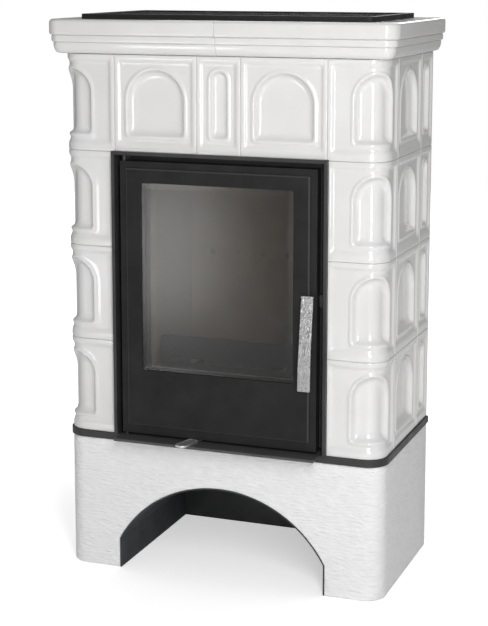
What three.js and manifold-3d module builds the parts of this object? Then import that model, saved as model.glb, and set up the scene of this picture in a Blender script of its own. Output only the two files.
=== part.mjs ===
// A tiled wood stove: a rendered plinth with an arched log store, a glazed-tile jacket with a cornice,
// and a steel fire insert with a glazed door. Millimetres, +Z up, and the door faces -Y.
// The origin is on the floor, under the middle of the stove's whole outline.

import * as THREE from 'three';
import { mergeVertices } from 'three/addons/utils/BufferGeometryUtils.js';
import Module from 'manifold-3d';

const wasm = await Module();
wasm.setup();

// ---------------------------------------------------------------------------------------------
// Driving dimensions
// ---------------------------------------------------------------------------------------------

const seat = 0.3;                 // gap kept between pieces that rest on or in each other
const lap = 1;                    // how far a cutter or a joined block reaches past a face

// Tiles
const tileJoint = 0.5;            // dry joint between neighbouring tiles
const archTileWidth = 186;        // pitch of the wide tile
const narrowTileWidth = 97;       // pitch of the narrow tile
const cornerFrontLeg = 123;
const cornerSideLeg = 89;
const cornerRadius = 42;          // glazed corner, and the plinth below it
const rowHeight = 204.5;
const rowCount = 4;
const tileFaceDepth = 26;         // thickness of a tile's moulded face
const tileDepth = 40;             // face and rear collar together
const tileWall = 8;               // clay left behind the niche
const collarInset = 8;            // the rear collar stands this far inside the face's edge
const collarWall = 9;
const edgeRound = 3;
const edgeDrop = 2;
const beadWidth = 9;              // raised border, from the tile's edge
const footBead = 17;              // the same, along the tile's foot
const coveWidth = 5;              // slope from the border down to the field
const fieldDepth = 4;
const rimWidth = 7;               // rounded rim of the niche, from the field to its crest
const rimRise = 2.3;              // rim's crest in front of the field
const nicheDepth = 15;
const nicheSlope = 6;             // run of the niche's side wall
const nicheFlare = 12;            // run of the niche's splayed foot
const archNicheMargin = 29;
const narrowNicheMargin = 30;
const nicheTopMargin = 30;
const nicheBottomMargin = 33;
const cornerNicheFrontMargin = 55;
const cornerNicheSideMargin = 39;

// Cornice
const corniceHeight = 72;
const corniceOverhang = 25;
const corniceCorner = 5;          // corner radius in the tile plane, under the overhang
const corniceReach = 50;          // top shelf, inwards from the tile plane
const corniceWall = 14;
const corniceFace = 33;           // height of the tall top band
const upperBead = 15;
const upperBeadReach = 18;
const lowerBead = 20;
const lowerBeadReach = 14.5;
const upperGroove = 3;            // how far each bead's edges draw in
const lowerGroove = 5;
const corniceTopRound = 8;
const corniceFootRound = 5;
const corniceSkin = 3;            // moulding behind the tile plane

// Top grille
const grilleWidth = 644;
const grilleFrontInset = 22;      // from the tile front
const grilleRearInset = 27;       // from the rear plane
const grilleHeight = 10;
const grilleRim = 16;
const grilleCorner = 12;
const latticeThickness = 4;
const latticeDrop = 3;
const lensRows = 6;
const lensColumns = 9;
const latticeBar = 6;

// Plinth
const plinthHeight = 290;
const plinthWall = 45;
const archWidth = 470;
const archSpring = 66;            // height of the straight sides
const archRise = 139;
const linerThickness = 3;
const linerSetback = 3;
const sheet = 3;                  // steel sheet of the rear and back panels
const bandHeight = 15;
const bandOverhang = 3.5;

// Fire insert
const frameOverlap = 4.5;         // frame strip over the tiles' cut edge
const frameStrip = 7;
const frameProud = 10;
const frameWeb = 2.5;
const landingDepth = 25;          // door landing, behind the tile front
const landingThickness = 4;
const landingLip = 7;             // landing inside the rope seal
const sillSideGap = 7;            // sill to the front frame's web, at each side
const sillReach = 45;
const sillThickness = 6;
const sillEdge = 1;
const sillTongue = 40;            // how far the sill runs back over the base plate
const tongueThickness = 2;
const fireboxWidth = 416;
const fireboxDepth = 262;
const fireboxTopGap = 68;         // firebox below the jacket's top
const fireboxWall = 5;
const collarClearance = 5;        // firebox behind the tiles' collars
const runnerWidth = 20;
const runnerSpacing = 320;
const runnerSetback = 10;         // behind the firebox's front
const lintelLeg = 20;
const lintelThickness = 3;

// Fire chamber
const liningThickness = 30;
const liningDrop = 16;            // linings end this far below the landing's opening
const liningSetback = 8;          // side linings behind the firebox's front wall
const airJetRadius = 6;
const airJetCount = 5;
const airJetPitch = 60;
const airJetHeight = 220;         // over the hearth
const hearthHeight = 104;         // hearth's underside over the firebox floor
const hearthThickness = 26;
const grateWidth = 200;
const grateLength = 130;
const grateThickness = 12;
const grateSlots = 9;
const grateSlotWidth = 9;
const grateBorder = 14;
const hearthLedge = 8;
const baffleThickness = 25;
const baffleThroat = 55;          // smoke passage in front of the baffle
const logGuardWidth = 310;
const logGuardHeight = 72;
const logGuardThickness = 4;
const logGuardSetback = 1;        // behind the firebox's front wall
const logGuardCorner = 8;
const logGuardEnd = 15;           // unslotted end
const logGuardSlots = 6;
const logGuardRib = 12;           // between two slots
const logGuardSlotFoot = 14;
const logGuardSlotHeight = 10;
const ashPanWidth = 200;
const ashPanLength = 190;
const ashPanHeight = 62;
const ashPanSetback = 12;         // behind the firebox's front wall
const ashPanLip = 9;
const ashPanLipWidth = 80;
const panWall = 1.5;

// Flue
const flueRadius = 75;
const flueWall = 3;
const flueReach = 40;             // collar behind the rear plane
const flueClearance = 2;
const flueFlange = 16;
const flueFlangeThickness = 4;
const flueTopMargin = 8;          // flange below the firebox's top

// Door
const doorGap = 13.5;             // dark gap between frame strip and door, at each side
const doorTopGap = 12;
const doorBottomGap = 6;
const doorDepth = 24;
const plateReveal = 14.5;         // door margin around the raised front plate
const plateThickness = 4;
const plateBevel = 3;
const plateBottomReveal = 19;
const windowSideMargin = 49.5;    // door's edges to the window
const windowTopMargin = 44.5;
const windowBottomMargin = 142;
const windowCorner = 6;
const glassMargin = 12;           // glass behind the door frame, all round
const glassThickness = 4;
const retainerWidth = 14;
const retainerThickness = 3;
const gasketThickness = 10;
const gasketCorner = 14;
const gasketClearance = 4.5;      // rope seal to the latch cam's hub
const gasketEndMargin = 25.5;     // door's upper and lower edges to the seal's middle
const hingePinRadius = 4;
const hingeInset = 7.5;           // pin behind the door's side edge
const hingeSetback = 7;           // pin behind the door frame's front face
const pinEngagement = 15;

// Handle
const handleWidth = 26.5;
const handleLength = 194;
const handleThickness = 5;
const handleStandTop = 16;        // front plate to the handle's back, at the top
const handleStandFoot = 37;       // the same, at the foot
const handleInset = 12.5;         // handle's middle, from the door's side edge
const handleTopHeight = 333;      // handle's top over the door's lower edge
const handleBow = 1.2;            // exponent of the bow: 1 is a quarter sine
const spindleRadius = 6;
const spindleDrop = 17;           // spindle below the handle's top
const spindleEnd = 1.5;           // beyond the cam
const bossWall = 3;
const bossClearance = 3;          // handle's boss in front of the front plate
const bossSocket = 8;             // spindle inside the boss
const camThickness = 6;
const camHub = 8.5;
const camTongue = 12;
const keeperGap = 1.5;
const keeperHeight = 26;
const keeperDepth = 9;

// Air control
const leverAngle = 16.4;          // rest angle away from straight ahead, in degrees
const leverTipReach = 15;         // tip in front of the sill
const leverPivotDepth = 72;       // pivot behind the tile front
const leverPivotOffset = -29;
const leverWidth = 26;
const leverNeck = 16;
const leverThickness = 2.5;
const leverRim = 2;
const leverRimHeight = 2.5;
const leverCorner = 5;
const leverBlade = 60;            // length of the wide end
const pivotRadius = 4;
const damperRadius = 62;
const damperThickness = 2.2;
const damperSpread = 100;         // in degrees
const damperHub = 14;
const airHoleRadius = 20;
const airHoleReach = 38;

// ---------------------------------------------------------------------------------------------
// Derived sizes
// ---------------------------------------------------------------------------------------------

const frontOpening = 2 * archTileWidth + narrowTileWidth;
const width = frontOpening + 2 * cornerFrontLeg;
const depth = cornerSideLeg + archTileWidth + narrowTileWidth;
const halfWidth = width / 2;
const bandBottom = plinthHeight + seat;
const bandTop = plinthHeight + bandHeight;
const jacketTop = bandTop + rowCount * rowHeight;
const corniceTop = jacketTop + corniceHeight;
const openingTop = bandTop + (rowCount - 1) * rowHeight;
const tileHeight = rowHeight - tileJoint;

const stripOuter = frontOpening / 2 + frameOverlap;
const stripInner = stripOuter - frameStrip;
const webOuter = frontOpening / 2 - seat;
const webInner = stripInner;
const stripTop = openingTop + frameOverlap / 2;
const webTop = openingTop - seat;
const frameInnerTop = stripTop - frameStrip;
const insertFront = tileDepth + collarClearance;

const sillTop = bandTop + seat + tongueThickness;
const doorBottom = sillTop + doorBottomGap;
const doorTop = frameInnerTop - doorTopGap;
const doorHalf = stripInner - doorGap;
const doorFront = -frameProud;
const doorBack = doorFront + doorDepth;
const plateFront = doorFront - seat - plateThickness;
const hingeX = -doorHalf + hingeInset;
const hingeY = doorFront + hingeSetback;

const leverBottom = sillTop + seat;
const leverTop = leverBottom + leverThickness;
const damperBottom = leverTop + seat;
const damperTop = damperBottom + damperThickness;
const leverTipY = -sillReach - leverTipReach;
const rearMost = depth + flueReach;

const fireboxBottom = damperTop + seat;
const fireboxFloor = fireboxBottom + fireboxWall;
const fireboxTop = jacketTop - fireboxTopGap;
const fireboxBack = insertFront + fireboxDepth;
const flueHeight = fireboxTop - flueTopMargin - flueFlange - flueRadius;
const chamberHalf = fireboxWidth / 2 - fireboxWall;
const chamberFront = insertFront + fireboxWall;
const chamberBack = fireboxBack - fireboxWall;

const spindleX = doorHalf - handleInset;
const handleTop = doorBottom + handleTopHeight;
const spindleZ = handleTop - spindleDrop;
const bossEnd = plateFront - bossClearance;

const gasketHalf = spindleX - camHub - gasketClearance - gasketThickness / 2;
const gasketBottom = doorBottom + gasketEndMargin;
const gasketTop = doorTop - gasketEndMargin;
const landingInset = gasketThickness / 2 + landingLip;
const landingHalf = gasketHalf - landingInset;
const landingBottom = gasketBottom + landingInset;
const landingTop = gasketTop - landingInset;

const hearthBottom = fireboxFloor + hearthHeight;
const hearthTop = hearthBottom + hearthThickness;
const liningBottom = hearthTop + seat;
const liningTop = landingTop - liningDrop;

const windowHalf = doorHalf - windowSideMargin;
const windowFoot = doorBottom + windowBottomMargin;
const windowHead = doorTop - windowTopMargin;
const glassHalf = windowHalf + glassMargin;
const glassFoot = windowFoot - glassMargin;
const glassHead = windowHead + glassMargin;
const glassFront = doorFront + doorDepth / 2;

// ---------------------------------------------------------------------------------------------
// Materials
// ---------------------------------------------------------------------------------------------

const finish = (color, roughness, metalness, extra = {}) =>
  new THREE.MeshStandardMaterial({ color, roughness, metalness, ...extra });

const whiteGlaze = finish(0xebe9e7, 0.12, 0.0);
const whiteRender = finish(0xe9e9ea, 0.9, 0.0);
const blackPaint = finish(0x2b2b2d, 0.6, 0.2);
const greySteel = finish(0x4a4d52, 0.5, 0.6);
const castIron = finish(0x232324, 0.75, 0.4);
const fireclay = finish(0xcdb893, 0.95, 0.0);
const darkGlass = finish(0x22201e, 0.05, 0.0, { transparent: true, opacity: 0.35 });
const stainless = finish(0xc9cacc, 0.3, 1.0);
const chrome = finish(0xdadbdd, 0.12, 1.0);
const rope = finish(0x3a3937, 0.95, 0.0);

// ---------------------------------------------------------------------------------------------
// Geometry helpers
// ---------------------------------------------------------------------------------------------

const quarter = Math.PI / 2;

/** A manifold solid of a closed three.js geometry. */
function solid(geometry) {
  const bare = geometry.clone();
  bare.deleteAttribute('normal');
  bare.deleteAttribute('uv');
  const merged = mergeVertices(bare, 1e-4);
  return new wasm.Manifold(new wasm.Mesh({
    numProp: 3,
    vertProperties: new Float32Array(merged.attributes.position.array),
    triVerts: new Uint32Array(merged.index.array),
  }));
}

/** A three.js geometry of a manifold solid. */
function geometryOf(body) {
  const mesh = body.getMesh();
  const geometry = new THREE.BufferGeometry();
  geometry.setAttribute('position', new THREE.BufferAttribute(mesh.vertProperties, 3));
  geometry.setIndex(new THREE.BufferAttribute(mesh.triVerts, 1));
  geometry.computeVertexNormals();
  return geometry;
}

/** A geometry's mirror image in the plane X = 0, with its triangles turned round again. */
function mirrored(geometry) {
  const twin = geometry.clone();
  twin.scale(-1, 1, 1);
  const index = twin.index.array;
  for (let k = 0; k < index.length; k += 3) {
    [index[k], index[k + 1]] = [index[k + 1], index[k]];
  }
  twin.computeVertexNormals();
  return twin;
}

/** A box between two corners. */
function box([x0, y0, z0], [x1, y1, z1]) {
  const geometry = new THREE.BoxGeometry(x1 - x0, y1 - y0, z1 - z0);
  geometry.translate((x0 + x1) / 2, (y0 + y1) / 2, (z0 + z1) / 2);
  return geometry;
}

/** A shape in X and Y, extruded up from z0 to z1. */
function extrudeUp(shape, z0, z1, curveSegments = 8) {
  const geometry = new THREE.ExtrudeGeometry(shape, { depth: z1 - z0, bevelEnabled: false, curveSegments });
  geometry.translate(0, 0, z0);
  return geometry;
}

/** A shape in X and Z, extruded back from y0 to y1. */
function extrudeBack(shape, y0, y1, curveSegments = 8) {
  const geometry = new THREE.ExtrudeGeometry(shape, { depth: y1 - y0, bevelEnabled: false, curveSegments });
  geometry.rotateX(quarter);
  geometry.translate(0, y1, 0);
  return geometry;
}

/** A shape in Y and Z, extruded sideways from x0 to x1. */
function extrudeAcross(shape, x0, x1, curveSegments = 8) {
  const geometry = new THREE.ExtrudeGeometry(shape, { depth: x1 - x0, bevelEnabled: false, curveSegments });
  const turn = new THREE.Matrix4().makeBasis(
    new THREE.Vector3(0, 1, 0), new THREE.Vector3(0, 0, 1), new THREE.Vector3(1, 0, 0));
  geometry.applyMatrix4(turn);
  geometry.translate(x0, 0, 0);
  return geometry;
}

/** A round bar from y0 to y1. */
function barBack(radius, x, z, y0, y1, sides = 24) {
  const geometry = new THREE.CylinderGeometry(radius, radius, y1 - y0, sides);
  geometry.translate(x, (y0 + y1) / 2, z);
  return geometry;
}

/** A round bar from z0 to z1. */
function barUp(radius, x, y, z0, z1, sides = 16) {
  const geometry = new THREE.CylinderGeometry(radius, radius, z1 - z0, sides);
  geometry.rotateX(quarter);
  geometry.translate(x, y, (z0 + z1) / 2);
  return geometry;
}

/** A rectangle with equally rounded corners, as a path or a shape. */
function roundedRect(path, x0, y0, x1, y1, radius) {
  path.moveTo(x0 + radius, y0);
  path.lineTo(x1 - radius, y0);
  path.absarc(x1 - radius, y0 + radius, radius, -quarter, 0, false);
  path.lineTo(x1, y1 - radius);
  path.absarc(x1 - radius, y1 - radius, radius, 0, quarter, false);
  path.lineTo(x0 + radius, y1);
  path.absarc(x0 + radius, y1 - radius, radius, quarter, 2 * quarter, false);
  path.lineTo(x0, y0 + radius);
  path.absarc(x0 + radius, y0 + radius, radius, 2 * quarter, 3 * quarter, false);
  return path;
}

/** A plain rectangle as a path or a shape. */
function rect(path, x0, y0, x1, y1) {
  path.moveTo(x0, y0);
  path.lineTo(x1, y0);
  path.lineTo(x1, y1);
  path.lineTo(x0, y1);
  path.closePath();
  return path;
}

/** A closed shape through straight points. */
function polygon(points) {
  const shape = new THREE.Shape();
  shape.moveTo(...points[0]);
  points.slice(1).forEach((point) => shape.lineTo(...point));
  shape.closePath();
  return shape;
}

/** A named mesh, placed by an optional position and a turn about Z. */
function piece(name, geometry, material, position = [0, 0, 0], turn = 0) {
  const mesh = new THREE.Mesh(geometry, material);
  mesh.name = name;
  mesh.position.set(...position);
  mesh.rotation.z = turn;
  return mesh;
}

/** The stove's footprint with its two front corners rounded, grown by an offset. */
function footprint(offset) {
  const half = halfWidth + offset;
  const front = -offset;
  const radius = cornerRadius + offset;
  const shape = new THREE.Shape();
  shape.moveTo(half, depth);
  shape.lineTo(-half, depth);
  shape.lineTo(-half, front + radius);
  shape.absarc(-half + radius, front + radius, radius, 2 * quarter, 3 * quarter, false);
  shape.lineTo(half - radius, front);
  shape.absarc(half - radius, front + radius, radius, 3 * quarter, 4 * quarter, false);
  shape.closePath();
  return shape;
}

/** An arch outline in X and Z: straight sides, then half an ellipse. */
function archShape(half, spring, rise, foot) {
  const shape = new THREE.Shape();
  shape.moveTo(half, foot);
  shape.lineTo(half, spring);
  shape.absellipse(0, spring, half, rise, 0, 2 * quarter, false, 0);
  shape.lineTo(-half, foot);
  shape.closePath();
  return shape;
}

// ---------------------------------------------------------------------------------------------
// Moulded walls: a plan line, and blocks whose face follows it
// ---------------------------------------------------------------------------------------------

/** A straight plan line along +X whose outer side faces -Y. */
const straightLine = {
  bends: [],
  at: (s, out) => [s, -out],
};

/**
 * The right corner's plan line, about its sharp corner: along the front, round it, and back.
 * Further in than the radius, the two sides meet in a mitre.
 */
function cornerLine(radius, steps) {
  const start = cornerFrontLeg - radius;
  const arc = quarter * radius;
  const bends = Array.from({ length: steps + 1 }, (_, k) => start + (arc * k) / steps);
  const at = (s, out) => {
    const mitre = Math.max(radius, -out);
    const bend = Math.max(radius + out, 0);
    if (s <= start) return [Math.min(s - cornerFrontLeg, -mitre), -out];
    if (s >= start + arc) return [out, Math.max(radius + s - start - arc, mitre)];
    const angle = (s - start) / radius;
    return [-mitre + bend * Math.sin(angle), mitre - bend * Math.cos(angle)];
  };
  return { bends, at, length: start + arc + cornerSideLeg - radius };
}

/** The left corner's plan line: the right one, mirrored and walked from its other end. */
function mirroredLine(line) {
  return {
    bends: line.bends.map((s) => line.length - s).reverse(),
    at: (s, out) => {
      const [x, y] = line.at(line.length - s, out);
      return [-x, y];
    },
    length: line.length,
  };
}

/**
 * A closed block along a plan line. Its face is a set of nested rings, from the outer edge inwards.
 * A ring holds points [s, z, reach]: the same number along its foot, left to right, as along its
 * head, right to left, so that the innermost ring is closed by upright strips that follow the line.
 */
function ringBlock(line, rings, backReach) {
  const back = rings[0].map(([s, z]) => [s, z, backReach]);
  const all = [back, ...rings];
  const count = back.length;
  const positions = all.flat().flatMap(([s, z, reach]) => [...line.at(s, reach), z]);
  const triangles = [];
  const quad = (a, b, c, d) => triangles.push(a, b, c, a, c, d);
  for (let ring = 0; ring + 1 < all.length; ring += 1) {
    for (let k = 0; k < count; k += 1) {
      const next = (k + 1) % count;
      const outer = ring * count;
      const inner = outer + count;
      quad(outer + k, outer + next, inner + next, inner + k);
    }
  }
  const face = (all.length - 1) * count;
  for (let k = 0; k + 1 < count / 2; k += 1) {
    const foot = [k, k + 1];
    const head = [count - 1 - k, count - 2 - k];
    quad(face + foot[0], face + foot[1], face + head[1], face + head[0]);
    quad(foot[0], head[0], head[1], foot[1]);
  }
  return new wasm.Manifold(new wasm.Mesh({
    numProp: 3,
    vertProperties: new Float32Array(positions),
    triVerts: new Uint32Array(triangles),
  }));
}

/** A plain block along a plan line, between two distances, two heights and two reaches. */
function wallBlock(line, [s0, s1], [z0, z1], [backReach, faceReach]) {
  const columns = [s0, ...line.bends.filter((s) => s > s0 + lap && s < s1 - lap), s1];
  const foot = columns.map((s) => [s, z0, faceReach]);
  const head = columns.map((s) => [s, z1, faceReach]).reverse();
  return ringBlock(line, [[...foot, ...head]], backReach);
}

// ---------------------------------------------------------------------------------------------
// Glazed tiles
// ---------------------------------------------------------------------------------------------

/** A tile with a round-headed niche: its moulded face, and a hollow collar behind it. */
function nicheTile(line, length, nicheStart, nicheEnd, archSteps) {
  const s0 = tileJoint / 2;
  const s1 = length - tileJoint / 2;
  const middle = (nicheStart + nicheEnd) / 2;
  const lipRadius = (nicheEnd - nicheStart) / 2;
  const spring = tileHeight - nicheTopMargin - lipRadius;
  const steps = Array.from({ length: archSteps + 1 }, (_, k) => (2 * quarter * k) / archSteps);
  const columns = (radius) => steps.map((angle) => middle - radius * Math.cos(angle));

  const border = (inset, footInset, reach) => {
    const across = columns(lipRadius);
    across[0] = s0 + inset;
    across[archSteps] = s1 - inset;
    return [
      ...across.map((s) => [s, footInset, reach]),
      ...across.map((s) => [s, tileHeight - inset, reach]).reverse()];
  };
  const niche = (radius, foot, reach) => {
    const across = columns(radius);
    return [
      ...across.map((s) => [s, foot, reach]),
      ...across.map((s, k) => [s, spring + radius * Math.sin(steps[k]), reach]).reverse()];
  };
  const face = ringBlock(line, [
    border(0, 0, -edgeDrop),
    border(edgeRound, edgeRound, 0),
    border(beadWidth, footBead, 0),
    border(beadWidth + coveWidth, footBead + coveWidth, -fieldDepth),
    niche(lipRadius + rimWidth, nicheBottomMargin - rimWidth, -fieldDepth),
    niche(lipRadius, nicheBottomMargin, rimRise - fieldDepth),
    niche(lipRadius - nicheSlope, nicheBottomMargin + nicheFlare, -nicheDepth),
  ], -tileFaceDepth);

  const collar = wallBlock(line, [s0 + collarInset, s1 - collarInset],
    [collarInset, tileHeight - collarInset], [-tileDepth, lap - tileFaceDepth]);
  const hollowInset = collarInset + collarWall;
  const hollow = wallBlock(line, [s0 + hollowInset, s1 - hollowInset],
    [hollowInset, tileHeight - hollowInset], [-tileDepth - lap, -nicheDepth - tileWall]);
  return geometryOf(face.add(collar).subtract(hollow));
}

/** The height of a tile row's underside. */
const rowBase = (row) => bandTop + row * rowHeight + tileJoint / 2;

/** The tile jacket: corner tiles all the way up, two wall tiles on each side, three over the door. */
function tileJacket() {
  const jacket = new THREE.Group();
  const archTile = nicheTile(straightLine, archTileWidth,
    archNicheMargin, archTileWidth - archNicheMargin, 8);
  const narrowTile = nicheTile(straightLine, narrowTileWidth,
    narrowNicheMargin, narrowTileWidth - narrowNicheMargin, 6);
  const rightLine = cornerLine(cornerRadius, 4);
  const leftLine = mirroredLine(rightLine);
  const rightCorner = nicheTile(rightLine, rightLine.length,
    cornerNicheFrontMargin, rightLine.length - cornerNicheSideMargin, 8);
  const leftCorner = nicheTile(leftLine, leftLine.length,
    cornerNicheSideMargin, leftLine.length - cornerNicheFrontMargin, 8);
  const archStart = cornerSideLeg;
  const narrowStart = cornerSideLeg + archTileWidth;

  for (let row = 0; row < rowCount; row += 1) {
    const z = rowBase(row);
    const tag = row + 1;
    jacket.add(
      piece(`corner_tile_right_${tag}`, rightCorner, whiteGlaze, [halfWidth, 0, z]),
      piece(`corner_tile_left_${tag}`, leftCorner, whiteGlaze, [-halfWidth, 0, z]),
      piece(`arch_tile_right_${tag}`, archTile, whiteGlaze, [halfWidth, archStart, z], quarter),
      piece(`narrow_tile_right_${tag}`, narrowTile, whiteGlaze, [halfWidth, narrowStart, z], quarter),
      piece(`arch_tile_left_${tag}`, archTile, whiteGlaze, [-halfWidth, narrowStart, z], -quarter),
      piece(`narrow_tile_left_${tag}`, narrowTile, whiteGlaze, [-halfWidth, depth, z], -quarter),
    );
  }
  const top = rowBase(rowCount - 1);
  const left = -frontOpening / 2;
  jacket.add(
    piece('arch_tile_front_left', archTile, whiteGlaze, [left, 0, top]),
    piece('narrow_tile_front', narrowTile, whiteGlaze, [left + archTileWidth, 0, top]),
    piece('arch_tile_front_right', archTile, whiteGlaze, [-left - archTileWidth, 0, top]),
  );
  return jacket;
}

// ---------------------------------------------------------------------------------------------
// Cornice and top grille
// ---------------------------------------------------------------------------------------------

/** Points on the cornice's moulding, from its top to its foot, as [reach, height]. */
function corniceProfile() {
  const points = [];
  const bow = (reach, top, bottom, swell, steps) => {
    for (let k = 0; k <= steps; k += 1) {
      const angle = -quarter + (2 * quarter * k) / steps;
      const height = top + ((bottom - top) * (1 + Math.sin(angle))) / 2;
      points.push([reach - swell * (1 - Math.cos(angle)), height]);
    }
  };
  const faceFoot = corniceHeight - corniceFace;
  const upperFoot = faceFoot - upperBead;
  const lowerFoot = upperFoot - lowerBead;
  const topCut = corniceTopRound * (1 - Math.SQRT1_2);
  const footCut = corniceFootRound * (1 - Math.SQRT1_2);
  points.push([corniceOverhang - corniceTopRound, corniceHeight]);
  points.push([corniceOverhang - topCut, corniceHeight - topCut]);
  points.push([corniceOverhang, corniceHeight - corniceTopRound]);
  points.push([corniceOverhang, faceFoot + corniceFootRound]);
  points.push([corniceOverhang - footCut, faceFoot + footCut]);
  bow(upperBeadReach, faceFoot, upperFoot, upperGroove, 4);
  bow(lowerBeadReach, upperFoot, lowerFoot, lowerGroove, 6);
  points.push([0, 0]);
  return points;
}

/** One half of the cornice, from the middle of the front round the corner to the back. */
function corniceHalf() {
  const start = tileJoint / 2;
  const steps = 6;
  const profile = [...corniceProfile(), [-corniceSkin, 0], [-corniceSkin, corniceHeight]];
  const centre = [halfWidth - corniceCorner, corniceCorner];
  const stations = [(out) => [start, -out]];
  for (let k = 0; k <= steps; k += 1) {
    const angle = (quarter * k) / steps;
    stations.push((out) => [
      centre[0] + (corniceCorner + out) * Math.sin(angle),
      centre[1] - (corniceCorner + out) * Math.cos(angle)]);
  }
  stations.push((out) => [halfWidth + out, depth]);

  const shape = new THREE.Shape(profile.map(([out, z]) => new THREE.Vector2(out, z)));
  const caps = THREE.ShapeUtils.triangulateShape(shape.getPoints(), []);
  const count = profile.length;
  const positions = stations.flatMap((at) => profile.flatMap(([out, z]) => [...at(out), z]));
  const triangles = [];
  for (let i = 0; i + 1 < stations.length; i += 1) {
    for (let j = 0; j < count; j += 1) {
      const a = i * count + j;
      const b = i * count + ((j + 1) % count);
      triangles.push(a, b, b + count, a, b + count, a + count);
    }
  }
  const far = (stations.length - 1) * count;
  caps.forEach(([a, b, c]) => triangles.push(a, b, c, far + a, far + c, far + b));
  const moulding = new wasm.Manifold(new wasm.Mesh({
    numProp: 3, vertProperties: new Float32Array(positions), triVerts: new Uint32Array(triangles),
  }));
  const angleBar = (inner, outer, z0, z1) => solid(extrudeUp(polygon([
    [start, outer], [halfWidth - outer, outer], [halfWidth - outer, depth],
    [halfWidth - inner, depth], [halfWidth - inner, inner], [start, inner]]), z0, z1));
  const wall = angleBar(corniceWall, corniceSkin - lap, 0, corniceHeight);
  const shelf = angleBar(corniceReach, corniceWall - lap, corniceHeight - corniceWall, corniceHeight);
  return geometryOf(moulding.add(wall).add(shelf));
}

/** The two cornice halves: the left one is the right one seen in a mirror. */
function cornice() {
  const group = new THREE.Group();
  const right = corniceHalf();
  const z = jacketTop + tileJoint;
  group.add(
    piece('cornice_right', right, whiteGlaze, [0, 0, z]),
    piece('cornice_left', mirrored(right), whiteGlaze, [0, 0, z]),
  );
  return group;
}

/** A pointed-oval opening of the lattice, between two arcs. */
function lens(x, y, halfLength, halfBreadth) {
  const path = new THREE.Path();
  path.moveTo(x - halfLength, y);
  path.quadraticCurveTo(x, y - 2 * halfBreadth, x + halfLength, y);
  path.quadraticCurveTo(x, y + 2 * halfBreadth, x - halfLength, y);
  return path;
}

/** The warm-air grille: a rim, and waved bars that cross in a staggered pattern of pointed ovals. */
function topGrille() {
  const half = grilleWidth / 2;
  const front = grilleFrontInset;
  const back = depth - grilleRearInset;
  const z0 = corniceTop + tileJoint + seat;
  const window = [half - grilleRim, front + grilleRim, back - grilleRim];
  const rim = roundedRect(new THREE.Shape(), -half, front, half, back, grilleCorner);
  rim.holes.push(rect(new THREE.Path(), -window[0], window[1], window[0], window[2]));

  const plate = rect(new THREE.Shape(), -window[0] - lap, window[1] - lap, window[0] + lap, window[2] + lap);
  const pitchX = (2 * window[0]) / lensColumns;
  const pitchY = (window[2] - window[1]) / lensRows;
  for (let row = 0; row < lensRows; row += 1) {
    const staggered = row % 2;
    for (let column = 0; column < lensColumns - staggered; column += 1) {
      const x = -window[0] + (column + 0.5 + staggered / 2) * pitchX;
      const y = window[1] + (row + 0.5) * pitchY;
      plate.holes.push(lens(x, y, (pitchX - latticeBar) / 2, (pitchY - latticeBar / 2) / 2));
    }
  }
  const latticeTop = z0 + grilleHeight - latticeDrop;
  const lattice = solid(extrudeUp(plate, latticeTop - latticeThickness, latticeTop, 3));
  const frame = solid(extrudeUp(rim, z0, z0 + grilleHeight, 4));
  return piece('top_grille', geometryOf(frame.add(lattice)), castIron);
}

// ---------------------------------------------------------------------------------------------
// Plinth
// ---------------------------------------------------------------------------------------------

/** The rendered plinth: three walls with rounded corners, and the log store's arch in front. */
function plinthShell() {
  const inner = halfWidth - plinthWall;
  const walls = solid(extrudeUp(footprint(0), 0, plinthHeight));
  const hollow = solid(box([-inner, plinthWall, -lap], [inner, depth + lap, plinthHeight + lap]));
  const arch = archShape(archWidth / 2 + seat, archSpring, archRise + seat, -lap);
  const opening = solid(extrudeBack(arch, -lap, plinthWall + lap, 20));
  return piece('plinth_shell', geometryOf(walls.subtract(hollow).subtract(opening)), whiteRender);
}

/** The bent steel vault that lines the log store. */
function archLiner() {
  const half = archWidth / 2;
  const thinner = (size) => size - linerThickness;
  const band = new THREE.Shape();
  band.moveTo(half, 0);
  band.lineTo(half, archSpring);
  band.absellipse(0, archSpring, half, archRise, 0, 2 * quarter, false, 0);
  band.lineTo(-half, 0);
  band.lineTo(-thinner(half), 0);
  band.lineTo(-thinner(half), archSpring);
  band.absellipse(0, archSpring, thinner(half), thinner(archRise), 2 * quarter, 0, true, 0);
  band.lineTo(thinner(half), 0);
  band.closePath();
  return piece('arch_liner', extrudeBack(band, linerSetback, depth - sheet - seat, 20), greySteel);
}

/** The plinth: its walls, the vault, its back panel and the steel plate that carries the jacket. */
function plinth() {
  const group = new THREE.Group();
  const inner = halfWidth - plinthWall - seat;
  group.add(
    plinthShell(),
    archLiner(),
    piece('plinth_back_panel', box([-inner, depth - sheet, 0], [inner, depth, plinthHeight]), greySteel),
    piece('base_plate', extrudeUp(footprint(bandOverhang), bandBottom, bandTop), blackPaint),
  );
  return group;
}

// ---------------------------------------------------------------------------------------------
// Fire insert
// ---------------------------------------------------------------------------------------------

/** A rounded rectangle in X and Z about the landing's opening, grown by a distance. */
const landingOutline = (path, grow = 0) => roundedRect(path,
  -landingHalf - grow, landingBottom - grow, landingHalf + grow, landingTop + grow, windowCorner + grow);

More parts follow.
